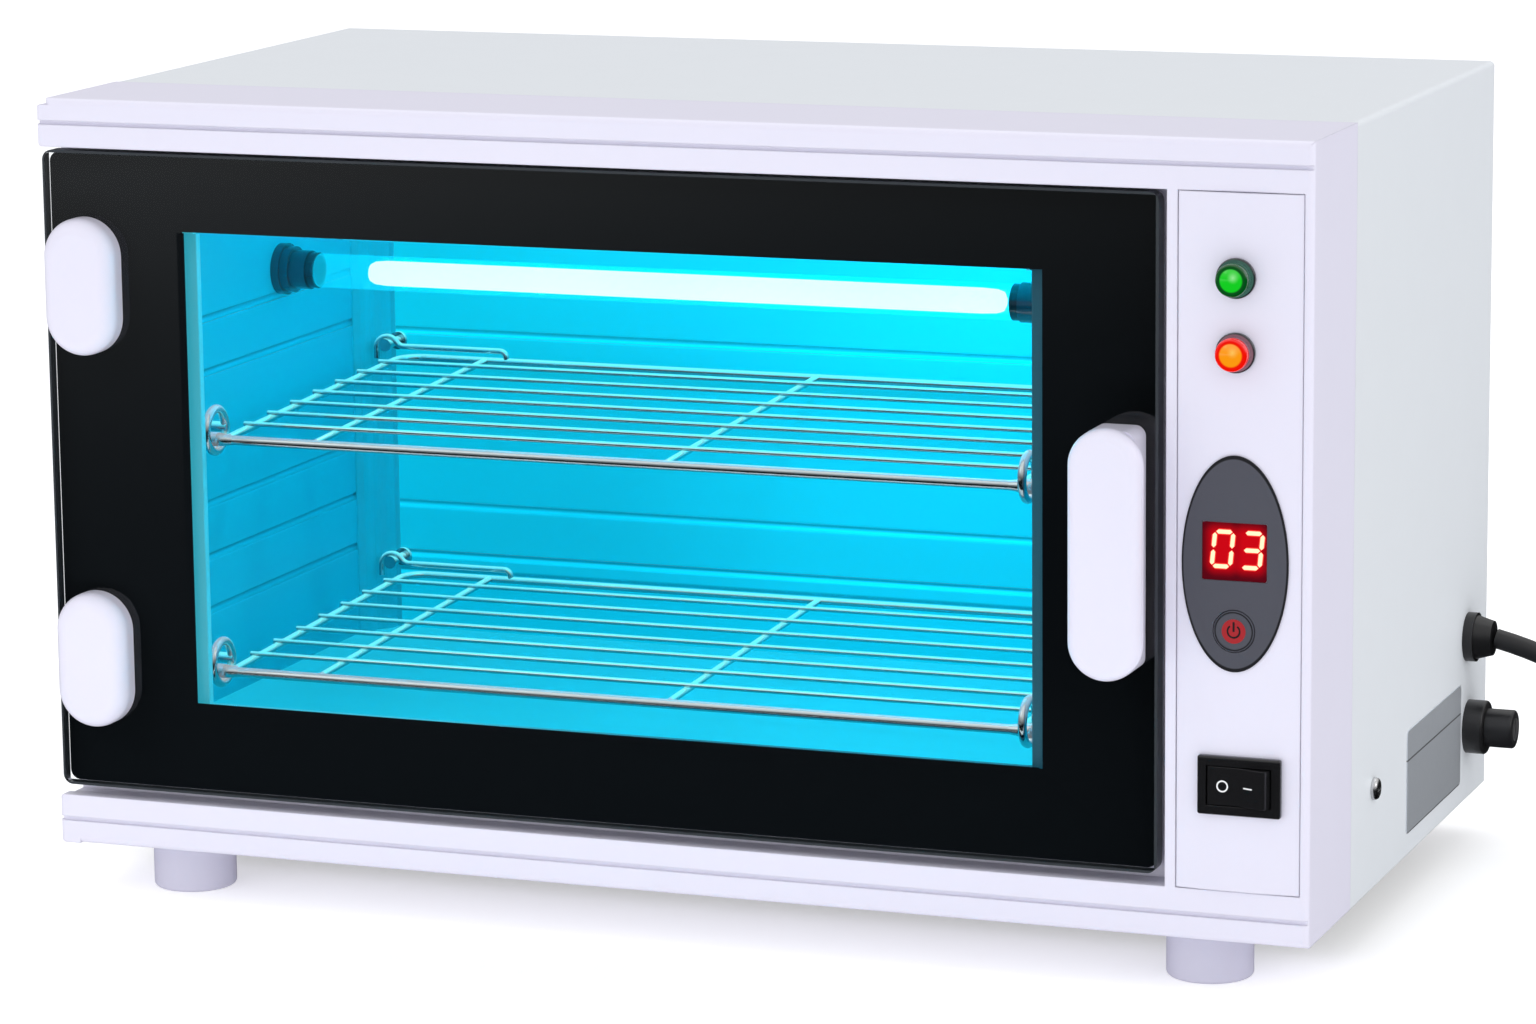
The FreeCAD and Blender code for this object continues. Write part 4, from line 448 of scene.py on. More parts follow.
def bezel_material():
    """The front moulding's plastic. On the rim of its mouth, a blue-green base colour and glow are painted
    light from the chamber, most at its left, fading to painted shade towards the right.
    """
    material, tree, shader, skin = surfaced("bezel_plastic", LAVENDER, gloss=(0.34, 0.42), mottle=0.02,
                                            ripple=0.3, soften=0.0006, coat=0.1)
    sunk = depth_mask(tree, 8.2, 9.2)
    lit = math_node(tree, "MULTIPLY", box_mask(tree, *MOUTH, soft=3.0), sunk)
    left = box_mask(tree, middle=(50.0, MOUTH[0][1]), half=(40.0, 100.0), soft=120.0)
    # Painted light on the mouth's rim: the chamber's glow, bright at the left, painted shade at the right.
    tone = mix_color(tree, left, rgb(0.0, 0.03, 0.05), rgb(0.01, 0.36, 0.47))
    inner = mix_color(tree, left, rgb(0.05, 0.16, 0.22), rgb(0.16, 0.34, 0.4))
    fill(tree, shader, Base_Color=mix_color(tree, lit, skin, inner),
         Emission_Color=mix_color(tree, lit, BLACK, tone), Emission_Strength=0.8)
    return material


def fuse_knob_material():
    """Black moulding with a bare metal disc in the middle of its end."""
    material, tree, shader, skin = surfaced("fuse_knob", rgb(0.012, 0.012, 0.014), gloss=(0.3, 0.42))
    disc = round_mask(tree, (0, *FUSE_AXIS), SEEN_FROM_END, radius=3.4, soft=0.1)
    fill(tree, shader, Base_Color=mix_color(tree, disc, skin, BARE_METAL), Metallic=disc)
    return material


BLADE_LENGTH = 16.0


def plug_material():
    """Black rubber moulding with two bare metal blades, which start one blade's length from its tip."""
    material, tree, shader, skin = surfaced("plug_rubber", rgb(0.008, 0.008, 0.009), gloss=(0.32, 0.42),
                                            mottle=0.15, scale=200)
    blade_root = NODES["power_plug"].bound_box[0][0] + BLADE_LENGTH * MM
    blades = math_node(tree, "LESS_THAN", own_axes(tree)["X"], blade_root)
    fill(tree, shader, Base_Color=mix_color(tree, blades, skin, rgb(0.62, 0.56, 0.42)), Metallic=blades)
    return material


def display_material():
    """A dark red filter that glows softly round the lit digits and fades to deep maroon at its edge."""
    material, tree, shader = surfaced("display_filter", rgb(0.05, 0.0015, 0.003), gloss=(0.16, 0.22),
                                      bump=0.0, specular=0.05)[:3]
    glow = rgb(0.055, 0.0, 0.004)
    for x in (355.6, 363.4):
        halo = box_mask(tree, middle=(x, 109.7), half=(1.8, 4.0), soft=4.2)
        glow = mix_color(tree, halo, glow, rgb(0.62, 0.0, 0.004))
    fill(tree, shader, Emission_Color=glow, Emission_Strength=0.9)
    return material


EDGE_LINE = 0.5


def overlay_material():
    """Matt grey film with a thin dark line printed round its oval edge."""
    material, tree, shader, skin = surfaced("overlay_film", rgb(0.075, 0.077, 0.1), gloss=(0.42, 0.55),
                                            mottle=0.06, scale=300, ripple=1.0)
    half_x, half_z = OVAL_HALF
    inner = round_mask(tree, (COLUMN_X, 0, OVAL_Z), (1, 0, half_x / half_z), radius=half_x - EDGE_LINE,
                       soft=0.1)
    fill(tree, shader, Base_Color=mix_color(tree, inner, rgb(0.01, 0.01, 0.014), skin))
    return material


def plate_material():
    """Blank silver plate with faint ruled boxes, as on a table with nothing written in it."""
    material, tree, shader, skin = surfaced("rating_plate_foil", rgb(0.72, 0.76, 0.81), gloss=(0.25, 0.4),
                                            metallic=0.6, mottle=0.05, scale=30)
    upright = (math.pi / 2, 0, math.pi / 2)
    mapping = add(tree, "ShaderNodeMapping", Vector=own_spot(tree), Rotation=upright,
                  Location=(0.0, 0.0005, 0.0))
    bricks = add(tree, "ShaderNodeTexBrick", offset=0.0, Vector=mapping.outputs["Vector"], Scale=1.0,
                 Mortar_Size=0.00025, Mortar_Smooth=0.1, Brick_Width=0.0216, Row_Height=0.0048,
                 Color1=BLACK, Color2=BLACK, Mortar=rgb(1, 1, 1))
    fill(tree, shader, Base_Color=mix_color(tree, bricks.outputs["Color"], skin, rgb(0.18, 0.19, 0.2)))
    return material


def make_materials():
    """Every finish of the steriliser, by the name it is used under."""
    made = {}

    def keep(key, *args, **kwargs):
        made[key] = surfaced(key, *args, **kwargs)[0]

    def keep_sheet(key, *args, **kwargs):
        made[key] = chamber_material(key, *args, **kwargs)

    keep("lavender_plastic", LAVENDER, gloss=(0.34, 0.42), mottle=0.02, ripple=0.3, soften=0.0006, coat=0.1)
    keep("cover_plastic", LAVENDER, gloss=(0.26, 0.34), mottle=0.02, ripple=0.3, coat=0.15)
    keep("foot_plastic", rgb(0.59, 0.575, 0.69), gloss=(0.4, 0.5), mottle=0.03)
    keep("case_paint", rgb(0.76, 0.79, 0.82), gloss=(0.3, 0.42), mottle=0.02, scale=90, ripple=1.0,
         bump=0.00003, soften=0.0006)
    keep("zinc_sheet", ZINC, gloss=(0.3, 0.5), mottle=0.15, scale=140, metallic=1.0)
    keep("screw_steel", rgb(0.62, 0.62, 0.63), gloss=(0.18, 0.3), metallic=1.0, soften=0.0004)
    keep("hinge_steel", rgb(0.5, 0.51, 0.53), gloss=(0.25, 0.35), metallic=1.0)
    keep("holder_plastic", rgb(0.004, 0.08, 0.12), gloss=(0.14, 0.2), coat=0.6)
    keep("lamp_cap_metal", rgb(0.010, 0.055, 0.075), gloss=(0.12, 0.2), metallic=0.5, coat=0.5)
    keep("border_print", rgb(0.022, 0.027, 0.034), gloss=(0.2, 0.26), mottle=0.1)
    keep("black_plastic", rgb(0.012, 0.012, 0.013), gloss=(0.28, 0.4), mottle=0.1, soften=0.0003)
    keep("switch_gloss", rgb(0.009, 0.009, 0.01), gloss=(0.16, 0.24), mottle=0.1, soften=0.0004, coat=0.2)
    keep("cord_rubber", rgb(0.008, 0.008, 0.009), gloss=(0.32, 0.42), mottle=0.15, scale=200)
    keep("gasket_rubber", rgb(0.01, 0.01, 0.011), gloss=(0.5, 0.6))
    keep("board_laminate", rgb(0.02, 0.12, 0.04), gloss=(0.3, 0.4))
    keep("terminal_plastic", rgb(0.7, 0.68, 0.6), gloss=(0.4, 0.5))
    keep("ballast_iron", rgb(0.12, 0.12, 0.13), gloss=(0.4, 0.6), metallic=0.6, mottle=0.3)
    keep("lead_insulation", rgb(0.35, 0.02, 0.02), gloss=(0.4, 0.5))
    keep("mark_white", rgb(0.85, 0.85, 0.85), gloss=(0.3, 0.4))
    keep("mark_red", rgb(0.40, 0.006, 0.012), gloss=(0.3, 0.4))
    # Dark print of the power mark, also used for the painted gap shadow round the button.
    keep("dark_print_and_gap_shadow", rgb(0.012, 0.012, 0.015), gloss=(0.3, 0.4))
    # Painted light: each sheet's glow colours, low and high, stand in for the lamp's light on it.
    keep_sheet("side_sheet", rgb(0.001, 0.085, 0.135), rgb(0.0, 0.15, 0.23), SIDE_BEADS, front_light=0.5)
    keep_sheet("rear_sheet", rgb(0.001, 0.33, 0.47), rgb(0.0, 0.62, 0.62), REAR_BEADS, rightward=1.1)
    keep_sheet("floor_sheet", rgb(0.010, 0.34, 0.43), rgb(0.0, 0.41, 0.48))
    keep_sheet("post_sheet", rgb(0.002, 0.12, 0.18), rgb(0.0, 0.24, 0.32))
    made["door_clear"] = glass_material("door_clear", rgb(0.96, 0.99, 0.99), margin=GLASS_MARGIN,
                                        window=WINDOW)
    made["fuse_clear"] = glass_material("fuse_clear", rgb(0.95, 0.98, 0.98), roughness=0.02)
    made["uv_tube"] = lamp_tube_material()
    made["discharge"] = discharge_material()
    made["shelf_chrome"] = wire_material()
    made["plug_rubber"] = plug_material()
    made["bezel_plastic"] = bezel_material()
    made["green_lens"] = lit_lens("green_lens", GREEN_LENS_Z, (
        rgb(0.45, 1.0, 0.45), rgb(0.008, 0.62, 0.018), rgb(0.0, 0.075, 0.008), rgb(0.06, 0.16, 0.125)))
    made["orange_lens"] = lit_lens("orange_lens", ORANGE_LENS_Z, (
        rgb(1.0, 0.70, 0.16), rgb(1.0, 0.33, 0.006), rgb(0.9, 0.006, 0.001), rgb(0.30, 0.16, 0.20)))
    made["fuse_knob"] = fuse_knob_material()
    made["plate_foil"] = plate_material()
    made["display_filter"] = display_material()
    made["overlay_film"] = overlay_material()
    return made


NODE_FINISH = {
    "bezel_plastic": "front_bezel",
    "lavender_plastic": "control_panel",
    "cover_plastic": "upper_hinge_cover lower_hinge_cover door_handle",
    "foot_plastic": "feet",
    "case_paint": "outer_case back_panel",
    "zinc_sheet": "base_plate lamp_bracket",
    "screw_steel": "case_screws foot_screws hinge_door_screws hinge_frame_screws handle_screws",
    "hinge_steel": "hinge_clamps hinge_brackets hinge_pins strike_plate",
    "side_sheet": "chamber_left_wall chamber_right_wall",
    "rear_sheet": "chamber_back_wall chamber_ceiling",
    "floor_sheet": "chamber_floor",
    "shelf_chrome": "upper_shelf lower_shelf shelf_eyes",
    "holder_plastic": "lampholder_left lampholder_right",
    "lamp_cap_metal": "lamp_caps",
    "uv_tube": "lamp_tube",
    "door_clear": "door_glass",
    "border_print": "door_border",
    "overlay_film": "overlay_plate power_button",
    "display_filter": "display_window display_module",
    "board_laminate": "control_board",
    "black_plastic": "button_switch pilot_lamp_bodies magnet_catch fuse_holder fuse_holder_nut "
                     "switch_terminals",
    "switch_gloss": "switch_housing switch_rocker",
    "green_lens": "green_lamp_lens",
    "orange_lens": "orange_lamp_lens",
    "plate_foil": "rating_plate",
    "gasket_rubber": "door_gasket",
    "cord_rubber": "cord_grommet",
    "plug_rubber": "power_plug",
    "fuse_knob": "fuse_cap",
    "fuse_clear": "fuse_link",
    "ballast_iron": "ballast",
    "terminal_plastic": "terminal_block",
    "lead_insulation": "wiring_loom",
}


def dress_nodes(finishes):
    """Puts each finish on the CAD nodes that have it."""
    for finish, names in NODE_FINISH.items():
        for name in names.split():
            mesh = NODES[name].data
            mesh.materials.clear()
            mesh.materials.append(finishes[finish])


# ---- new pieces -------------------------------------------------------------------------------
def mesh_piece(name, points, faces, material, body, slot, smooth=False):
    """A closed mesh from points in metres, riding on a body."""
    mesh = bpy.data.meshes.new(name)
    mesh.from_pydata([tuple(p) for p in points], [], [tuple(f) for f in faces])
    mesh.update()
    if smooth:
        mesh.shade_smooth()
    mesh.materials.append(material)
    piece = link_object(name, mesh)
    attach(piece, body)
    return piece


def prism(outline, front, back):
    """Points and faces of a prism: the outline, its points (x, z) counterclockwise as seen from the
    front, at y = front and again at y = back, in the working frame."""
    outline = np.asarray(outline, float)
    count = len(outline)
    near = np.column_stack([outline[:, 0], np.full(count, front), outline[:, 1]])
    far = near + [0, back - front, 0]
    points = (np.vstack([near, far]) + SHIFT) * MM
    here = np.arange(count)
    after = (here + 1) % count
    sides = np.column_stack([here, here + count, after + count, after])
    return points, [here.tolist(), (here[::-1] + count).tolist()] + sides.tolist()


def joined(parts):
    """Several (points, faces) as one."""
    points, faces, start = [], [], 0
    for part_points, part_faces in parts:
        points.append(part_points)
        faces += [[index + start for index in face] for face in part_faces]
        start += len(part_points)
    return np.vstack(points), faces


def ring_sector(radius, width, start, end, front, back, centre, steps=49):
    """A flat ring or part of one, facing the front: a four-sided outline (radius +- width / 2 by front
    to back) carried round from the start angle to the end, measured from +X towards +Z, in degrees.
    A full turn joins up with itself, anything less has two end faces."""
    whole = end - start >= 360
    angles = np.radians(np.linspace(start, end, steps))
    angles = angles[:-1] if whole else angles
    count = len(angles)
    reach = radius + np.array([-1, 1, 1, -1]) * width / 2
    depth = np.array([front, front, back, back])
    x = centre[0] + np.outer(np.cos(angles), reach)
    z = centre[1] + np.outer(np.sin(angles), reach)
    y = np.broadcast_to(depth, x.shape)
    points = (np.stack([x, y, z], axis=-1).reshape(-1, 3) + SHIFT) * MM
    rows = np.arange(count if whole else count - 1)[:, None]
    following = (rows + 1) % count
    corner = np.arange(4)
    beside = (corner + 1) % 4
    quads = [rows * 4 + corner, rows * 4 + beside, following * 4 + beside, following * 4 + corner]
    faces = np.column_stack([corners.ravel() for corners in quads]).tolist()
    if not whole:
        last = (count - 1) * 4
        faces += [[3, 2, 1, 0], [last, last + 1, last + 2, last + 3]]
    return points, faces


def disc(radius, centre, front, back, steps=40):
    """Points and faces of a round plate facing the front: a prism on an even polygon."""
    angles = np.radians(np.arange(steps) * 360.0 / steps)
    outline = np.column_stack([np.cos(angles), np.sin(angles)]) * radius + centre
    return prism(outline, front, back)


# A digit's bars, each between two of its six corners, which are counted in widths and half heights.
BAR_CORNERS = {"a": ((0, 2), (1, 2)), "b": ((1, 1), (1, 2)), "c": ((1, 0), (1, 1)), "d": ((0, 0), (1, 0)),
               "e": ((0, 0), (0, 1)), "f": ((0, 1), (0, 2)), "g": ((0, 1), (1, 1))}
LIT_BARS = {"0": "abcdef", "3": "abcdg"}
DIGIT_WIDTH, DIGIT_HEIGHT = 5.1, 9.5
DIGIT_BOTTOM = 105.0
DIGIT_SLANT = 0.1
DIGIT_LEFT = {"0": 352.7, "3": 360.9}


def segment_bars(digit, thickness, gap, front, back):
    """The lit bars of a seven-segment digit: each a six-sided bar between two corners, its ends drawn in
    by the gap, and all points moved right by the slant times their height."""
    bars = []
    for name in LIT_BARS[digit]:
        start, end = (np.array(c, float) * [DIGIT_WIDTH, DIGIT_HEIGHT / 2] for c in BAR_CORNERS[name])
        along = (end - start) / np.linalg.norm(end - start)
        across = np.array([-along[1], along[0]]) * thickness / 2
        start = start + along * gap
        end = end - along * gap
        shoulder = along * thickness / 2
        outline = np.array([start, start + shoulder - across, end - shoulder - across, end,
                            end - shoulder + across, start + shoulder + across])
        outline[:, 0] += outline[:, 1] * DIGIT_SLANT
        bars.append(prism(outline + [DIGIT_LEFT[digit], DIGIT_BOTTOM], front, back))
    return bars


def glowing(name, color, strength):
    """A plain material lit from inside."""
    material, tree, shader = blank_material(name)
    fill(tree, shader, Base_Color=rgb(0.1, 0.01, 0.01), Emission_Color=color, Emission_Strength=strength)
    return material


DISPLAY_FRONT = -1.06


def make_display():
    """Two slanted digits: near-white bars, each on a slightly larger red one, just in front of the
    filter."""
    digits, halo = [], []
    for digit in DIGIT_LEFT:
        digits += segment_bars(digit, thickness=1.15, gap=0.3, front=DISPLAY_FRONT,
                               back=DISPLAY_FRONT + 0.03)
        halo += segment_bars(digit, thickness=1.75, gap=0.12, front=DISPLAY_FRONT + 0.035,
                             back=DISPLAY_FRONT + 0.06)
    mesh_piece("display_digits", *joined(digits), glowing("digit_light", rgb(1.0, 0.62, 0.38), 1.6),
               "cabinet", "display_red")
    mesh_piece("display_glow", *joined(halo), glowing("digit_halo", rgb(1.0, 0.012, 0.004), 1.0),
               "cabinet", "display_red")


BUTTON_FRONT = -1.32
ROCKER_FRONT = -2.2
ROCKER_MIDDLE = (360.8, 44.4)          # x and z
ROCKER_LEAN = math.radians(18.0)       # how far the right face leans forward about the middle line
CIRCLE_X = 356.3
BAR_LEFT, BAR_RIGHT = 362.4, 365.2
BAR_BOTTOM, BAR_TOP = 44.2, 44.58
STEM_HALF = 0.28
STEM_BOTTOM, STEM_TOP = 87.2, 89.9


def rectangle(left, right, bottom, top):
    """Its corners (x, z), counterclockwise from the lower left."""
    return [(left, bottom), (right, bottom), (right, top), (left, top)]


def make_marks(finishes):
    """The power mark on the button with a painted shadow of the gap round the button's rim, and the circle
    and bar on the rocker's two faces.
    """
    # Painted shadow: the dark ring round the button's rim stands for the shaded gap round the button.
    outline = ring_sector(5.2, 0.35, 0, 360, BUTTON_FRONT - 0.02, BUTTON_FRONT + 0.03, BUTTON)
    mesh_piece("button_gap_shadow", *outline, finishes["dark_print_and_gap_shadow"], "power_button", "overlay_grey")
    plate = disc(3.35, BUTTON, BUTTON_FRONT - 0.03, BUTTON_FRONT + 0.02)
    mesh_piece("power_mark_disc", *plate, finishes["mark_red"], "power_button", "display_red")
    stem = prism(rectangle(COLUMN_X - STEM_HALF, COLUMN_X + STEM_HALF, STEM_BOTTOM, STEM_TOP),
                 BUTTON_FRONT - 0.05, BUTTON_FRONT)
    arc = ring_sector(1.7, 0.5, 125, 415, BUTTON_FRONT - 0.05, BUTTON_FRONT, BUTTON)
    mesh_piece("power_mark", *joined([stem, arc]), finishes["dark_print_and_gap_shadow"], "power_button", "overlay_grey")

    circle = ring_sector(1.45, 0.42, 0, 360, ROCKER_FRONT - 0.04, ROCKER_FRONT + 0.02,
                         (CIRCLE_X, ROCKER_MIDDLE[1]))
    mesh_piece("rocker_circle", *circle, finishes["mark_white"], "rocker", "rocker_black")
    points, faces = prism(rectangle(BAR_LEFT, BAR_RIGHT, BAR_BOTTOM, BAR_TOP), -0.04, 0.02)
    # turned about the rocker's middle line onto the right face
    pivot = place(ROCKER_MIDDLE[0], 0, 0)
    away, depth = points[:, 0] - pivot[0], points[:, 1] - pivot[1]
    sine, cosine = math.sin(ROCKER_LEAN), math.cos(ROCKER_LEAN)
    points[:, 0] = pivot[0] + away * cosine + depth * sine
    points[:, 1] = pivot[1] + ROCKER_FRONT * MM - away * sine + depth * cosine
    mesh_piece("rocker_bar", points, faces, finishes["mark_white"], "rocker", "rocker_black")


def turned_bar(profile, y, z, steps=32):
    """Points and faces of a body turned about an axis along X: its radius at each x of the profile, whose
    first and last radii are 0 and become poles."""
    profile = np.asarray(profile, float)
    inner = profile[1:-1]
    turns = np.arange(steps) * 2 * math.pi / steps
    x = np.repeat(inner[:, 0], steps)
    reach = np.repeat(inner[:, 1], steps)
    angle = np.tile(turns, len(inner))
    rings = np.column_stack([x, y + reach * np.cos(angle), z + reach * np.sin(angle)])
    poles = [[profile[0, 0], y, z], [profile[-1, 0], y, z]]
    points = (np.vstack([rings, poles]) + SHIFT) * MM
    here = np.arange(steps)
    after = (here + 1) % steps
    faces = []
    for row in range(len(inner) - 1):
        low, high = row * steps, (row + 1) * steps
        faces += np.column_stack([low + here, low + after, high + after, high + here]).tolist()
    first_pole = len(rings)
    faces += np.column_stack([np.full(steps, first_pole), after, here]).tolist()
    last = (len(inner) - 1) * steps
    faces += np.column_stack([np.full(steps, first_pole + 1), last + here, last + after]).tolist()
    return points, faces


# The glowing column's radius at each x: a blunt, slightly hollow point at both ends, even between them.
DISCHARGE_PROFILE = [
    (63.0, 0.0), (62.6, 1.4), (63.2, 2.7), (64.6, 3.4), (68.0, 3.75), (162.0, 3.8), (257.0, 3.75),
    (261.5, 3.5), (263.4, 2.9), (264.2, 1.4), (263.6, 0.0),
]


def make_discharge(finishes):
    """The glowing column inside the lamp's tube."""
    column = mesh_piece("lamp_discharge", *turned_bar(DISCHARGE_PROFILE, *LAMP_AXIS), finishes["discharge"],
                        "lamp", "lamp_glass", smooth=True)
    column.visible_shadow = False


def upright_strip(outline, bottom, top):
    """Points and faces of an upright strip: its plan outline (x, y), counterclockwise from above, carried
    from bottom to top."""
    outline = np.asarray(outline, float)
    count = len(outline)
    low = np.column_stack([outline, np.full(count, bottom)])
    high = low + [0, 0, top - bottom]
    points = (np.vstack([low, high]) + SHIFT) * MM
    here = np.arange(count)
    after = (here + 1) % count
    sides = np.column_stack([here, after, after + count, here + count])
    return points, [here[::-1].tolist(), (here + count).tolist()] + sides.tolist()


# A left post's plan: distance from the side wall and y. The last two points close it along the back wall.
POST_PLAN = np.array([
    (-0.1, 141.3), (0.5, 141.3), (2.2, 142.6), (2.9, 144.0), (3.5, 147.4), (4.4, 148.9), (5.9, 150.3),
    (6.7, 151.6), (7.4, 154.2), (8.6, 154.6), (8.6, CHAMBER_BACK + 0.1), (-0.1, CHAMBER_BACK + 0.1),
])


def make_corner_posts(finishes):
    """Folded posts in the chamber's rear corners: faces at changing slants from the side wall round to
    the back wall."""
    left_plan = POST_PLAN + [CHAMBER_LEFT, 0]
    right_plan = POST_PLAN[::-1] * [-1, 1] + [CHAMBER_RIGHT, 0]
    posts = [upright_strip(plan, CHAMBER_FLOOR, CHAMBER_CEILING) for plan in (left_plan, right_plan)]
    mesh_piece("chamber_corner_posts", *joined(posts), finishes["post_sheet"], "cabinet", "chamber_paint")


# ---- cord -------------------------------------------------------------------------------------
CORD_ROUTE = [
    (191.45, 85.6, 65.0), (207.0, 85.8, 61.3), (220.5, 87.0, 51.5), (229.5, 89.3, 38.0),
    (239.0, 93.5, 25.5), (251.0, 100.5, 14.0), (265.0, 110.0, 6.0), (279.5, 121.5, 3.05),
    (292.0, 135.0, 3.05),
]
CORD_RADIUS = 3.0
COIL_BAND = 24.0               # width over the turns that lie side by side
COIL_OUTER = 47.0
COIL_TURN = COIL_OUTER - CORD_RADIUS
PITCH = 2 * CORD_RADIUS
TURN_POINTS = 16
FIRST_TURN = 0.25              # where along the first turn the coil's points start
PLUG_NECK_RADIUS = 4.2
COIL_GAP, SURFACE_GAP, NECK_GAP = 0.05, 0.1, 0.1     # clearances of the coil, the lowest turns and the plug
PLUG_END = math.pi / 2         # angle at which the cord leaves for the plug
# The tail's points into the plug: distance from the coil's middle or the plug's neck, and height.
TAIL_START, TAIL_MIDDLE, TAIL_END = (-8, 8.6), (6, 7.7), (-1, 7.5)


def coil_exit(radius):
    """Along a tangent of the outermost turn, how far until a bar of this radius is out of the coil."""
    return math.sqrt(COIL_OUTER ** 2 - (COIL_TURN - radius) ** 2)


def coil_points():
    """Turns wound as one spiral in to the inner radius on the surface, up by a cord's width in one turn,
    and out again on top, then the tail to the plug. Radius and height are functions of the turned angle:
    the radius falls and grows by one pitch a turn, and the height climbs along a quarter circle."""
    last, before = np.array(CORD_ROUTE[-1]), np.array(CORD_ROUTE[-2])
    heading = (last - before)[:2] / np.linalg.norm((last - before)[:2])
    left = np.array([-heading[1], heading[0]])
    centre = last[:2] + heading * (coil_exit(CORD_RADIUS) + COIL_GAP) + left * COIL_TURN
    start = math.atan2(-left[1], -left[0])
    layers = round(COIL_BAND / PITCH) - 1
    total = 2 * layers + 1 + ((PLUG_END - start) / (2 * math.pi)) % 1.0
    turns = np.arange(FIRST_TURN, total, 1.0 / TURN_POINTS)
    inner = COIL_TURN - layers * PITCH
    radius = np.where(turns < layers, COIL_TURN - turns * PITCH,
                      np.where(turns < layers + 1, inner, inner + (turns - layers - 1) * PITCH))
    radius = np.minimum(radius, COIL_TURN)
    climb = np.clip(turns - layers, 0, 1)
    height = CORD_RADIUS + SURFACE_GAP + PITCH * np.sqrt(1 - (1 - climb) ** 2)
    angle = start + turns * 2 * math.pi
    points = np.column_stack([centre[0] + radius * np.cos(angle), centre[1] + radius * np.sin(angle), height])
    neck_x = centre[0] - coil_exit(PLUG_NECK_RADIUS) - NECK_GAP
    tail = [(x + shift, centre[1] + COIL_TURN, z)
            for x, (shift, z) in ((centre[0], TAIL_START), (neck_x, TAIL_MIDDLE), (neck_x, TAIL_END))]
    return points.tolist() + tail


def make_cord(finishes):
    """One open spline from the grommet to the plug."""
    route = CORD_ROUTE + coil_points()
    curve = bpy.data.curves.new("mains_lead", "CURVE")
    curve.dimensions = "3D"
    curve.bevel_depth = CORD_RADIUS * MM
    curve.bevel_resolution = 6
    curve.resolution_u = 6
    curve.use_fill_caps = True
    spline = curve.splines.new("NURBS")
    spline.points.add(len(route) - 1)
    flat = np.ones((len(route), 4))
    flat[:, :3] = np.array(route) * MM
    spline.points.foreach_set("co", flat.ravel())
    spline.order_u = 3
    spline.use_endpoint_u = True
    curve.materials.append(finishes["cord_rubber"])
    lead = link_object("mains_lead", curve)
    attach(lead, "cabinet")
    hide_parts("power_cord", "cord_coil")


# ---- studio -----------------------------------------------------------------------------------
def area_light(name, spot, target, size, power):
    """A rectangular soft light at a spot, turned to a target, with its size in metres and power in W."""
    data = bpy.data.lights.new(name, "AREA")
    data.shape = "RECTANGLE"
    data.size, data.size_y = size
    data.energy = power
    light = link_object(name, data)
    light.location = spot
    light.rotation_euler = (Vector(target) - Vector(spot)).to_track_quat("-Z", "Y").to_euler()
    return light


def tube_light(name, spot, power):
    """A small round source inside the tube, which throws the lamp's blue light on the chamber."""
    data = bpy.data.lights.new(name, "POINT")
    data.energy = power
    data.color = (0.0, 0.72, 1.0)
    data.shadow_soft_size = 0.004
    link_object(name, data).location = spot


def make_world():
    """White to the camera and to matt surfaces, and through glass towards the back. Reflections, and glass
    towards the front, see a room that is dark up to the horizon and grows brighter above it."""
    world = bpy.data.worlds.new("studio_white")
    world.use_nodes = True
    tree = world.node_tree
    white = fill(tree, tree.nodes["Background"], Color=rgb(1, 1, 1), Strength=1.0)
    soft = add(tree, "ShaderNodeBackground", Color=rgb(0.96, 0.97, 1.0), Strength=0.92)
    heading = add(tree, "ShaderNodeTexCoord").outputs["Generated"]
    axes = add(tree, "ShaderNodeSeparateXYZ", Vector=heading).outputs
    brightness = ranged(tree, axes["Z"], -0.1, 0.7, 0.06, 1.0, interpolation_type="SMOOTHSTEP")
    room = add(tree, "ShaderNodeBackground", Color=brightness, Strength=0.9)
    path = add(tree, "ShaderNodeLightPath").outputs
    unseen = mix_shader(tree, path["Is Glossy Ray"], soft, room)
    backward = math_node(tree, "GREATER_THAN", axes["Y"], 0.0)
    through = math_node(tree, "MULTIPLY", path["Is Transmission Ray"], backward)
    direct = math_node(tree, "MAXIMUM", path["Is Camera Ray"], through)
    seen = mix_shader(tree, direct, unseen, white)
    tree.links.new(seen.outputs["Shader"], tree.nodes["World Output"].inputs["Surface"])
    bpy.context.scene.world = world


FLOOR_REACH = 6.0              # metres from the middle to each edge
MIRROR_START = 0.26            # metres from the object's middle at which the reflected floor starts to show
MIRROR_FRONT = -0.2            # y in metres, in front of which glass never shows the lit floor


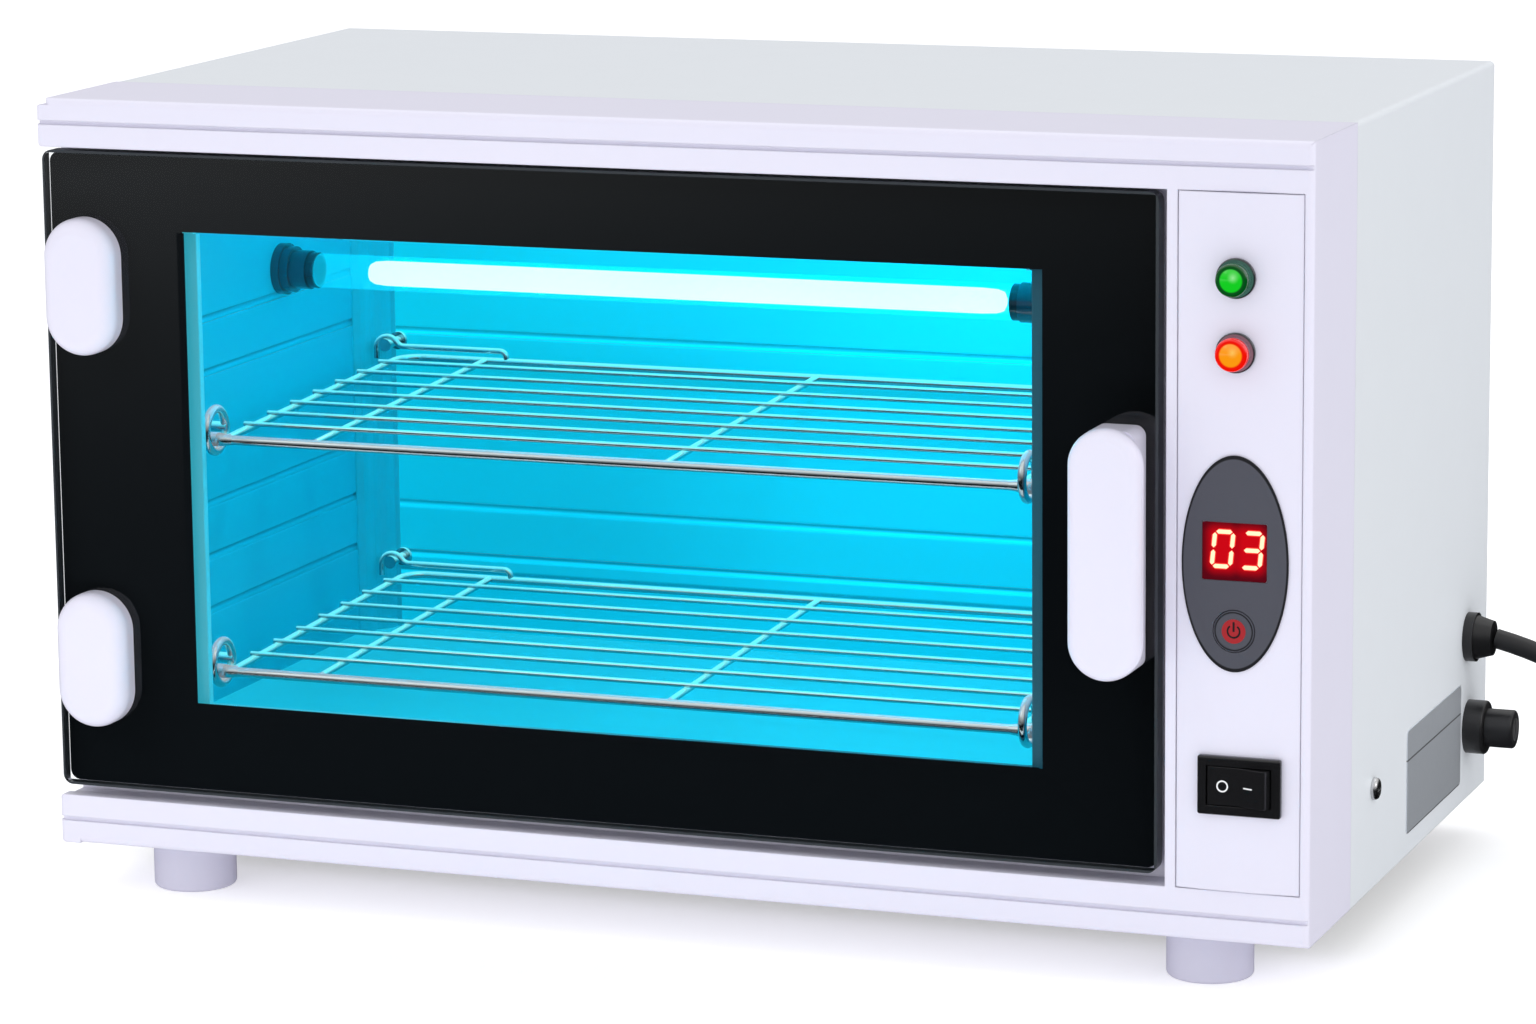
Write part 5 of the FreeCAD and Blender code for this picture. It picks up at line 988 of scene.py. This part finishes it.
def make_floor():
    """A wide white floor. Where it is seen in a reflection, or in front through glass, it is black close to
    the object and grows lighter with the square of the distance to the left and, less, to the front."""
    mesh = bpy.data.meshes.new("studio_floor")
    reach = FLOOR_REACH
    mesh.from_pydata([(-reach, -reach, 0), (reach, -reach, 0), (reach, reach, 0), (-reach, reach, 0)], [],
                     [(0, 1, 2, 3)])
    floor = link_object("studio_floor", mesh)
    material, tree, shader = blank_material("studio_floor_white")
    fill(tree, shader, Base_Color=rgb(0.80, 0.80, 0.805), Roughness=0.9, Specular_IOR_Level=0.0,
         Emission_Color=rgb(1.0, 1.0, 1.0), Emission_Strength=0.40)
    axes = own_axes(tree)
    leftward = math_node(tree, "MULTIPLY", axes["X"], -1.0)
    frontward = math_node(tree, "MULTIPLY", axes["Y"], -0.35)
    away = math_node(tree, "SUBTRACT", math_node(tree, "ADD", leftward, frontward), MIRROR_START)
    away = math_node(tree, "MAXIMUM", away, 0.0)
    light = math_node(tree, "MULTIPLY", math_node(tree, "MULTIPLY", away, away), 0.385)
    light = math_node(tree, "MINIMUM", light, 0.6)
    mirror = add(tree, "ShaderNodeEmission", Color=mix_color(tree, light, BLACK, rgb(0.93, 0.97, 1.0)))
    path = add(tree, "ShaderNodeLightPath").outputs
    in_front = math_node(tree, "LESS_THAN", axes["Y"], MIRROR_FRONT)
    returned = math_node(tree, "MAXIMUM", path["Is Reflection Ray"], in_front)
    mirrored = math_node(tree, "MULTIPLY", path["Is Glossy Ray"], returned)
    show_surface(tree, mix_shader(tree, mirrored, shader, mirror))
    mesh.materials.append(material)


TUBE_LIGHT_ENDS, TUBE_LIGHTS = (75, 250), 5


def make_lights():
    """Soft lights above, in front and at the right, a low one that fills the lower band, and the lamp's
    own light."""
    area_light("softbox_top", (-0.2, 0.3, 1.6), target=(0, 0, 0.1), size=(1.6, 1.2), power=5)
    area_light("softbox_front", (-1.3, -1.3, 1.3), target=(0, -0.05, 0.1), size=(1.0, 0.8), power=1.5)
    area_light("softbox_right", (1.8, -0.2, 1.0), target=(0.1, 0, 0.1), size=(1.0, 1.0), power=5)
    low = area_light("softbox_low", (-0.09, -0.33, 0.03), target=(-0.09, -0.09, 0.03), size=(0.5, 0.03),
                     power=0.12)
    low.visible_glossy = low.visible_camera = low.visible_transmission = False
    for index, x in enumerate(np.linspace(*TUBE_LIGHT_ENDS, TUBE_LIGHTS)):
        tube_light("tube_light_%d" % index, place(x, *LAMP_AXIS), power=0.11)
    NODES["lamp_tube"].visible_shadow = False


make_camera()
FINISHES = make_materials()
make_cord(FINISHES)
dress_nodes(FINISHES)
make_display()
make_marks(FINISHES)
make_discharge(FINISHES)
make_corner_posts(FINISHES)
make_world()
make_floor()
make_lights()
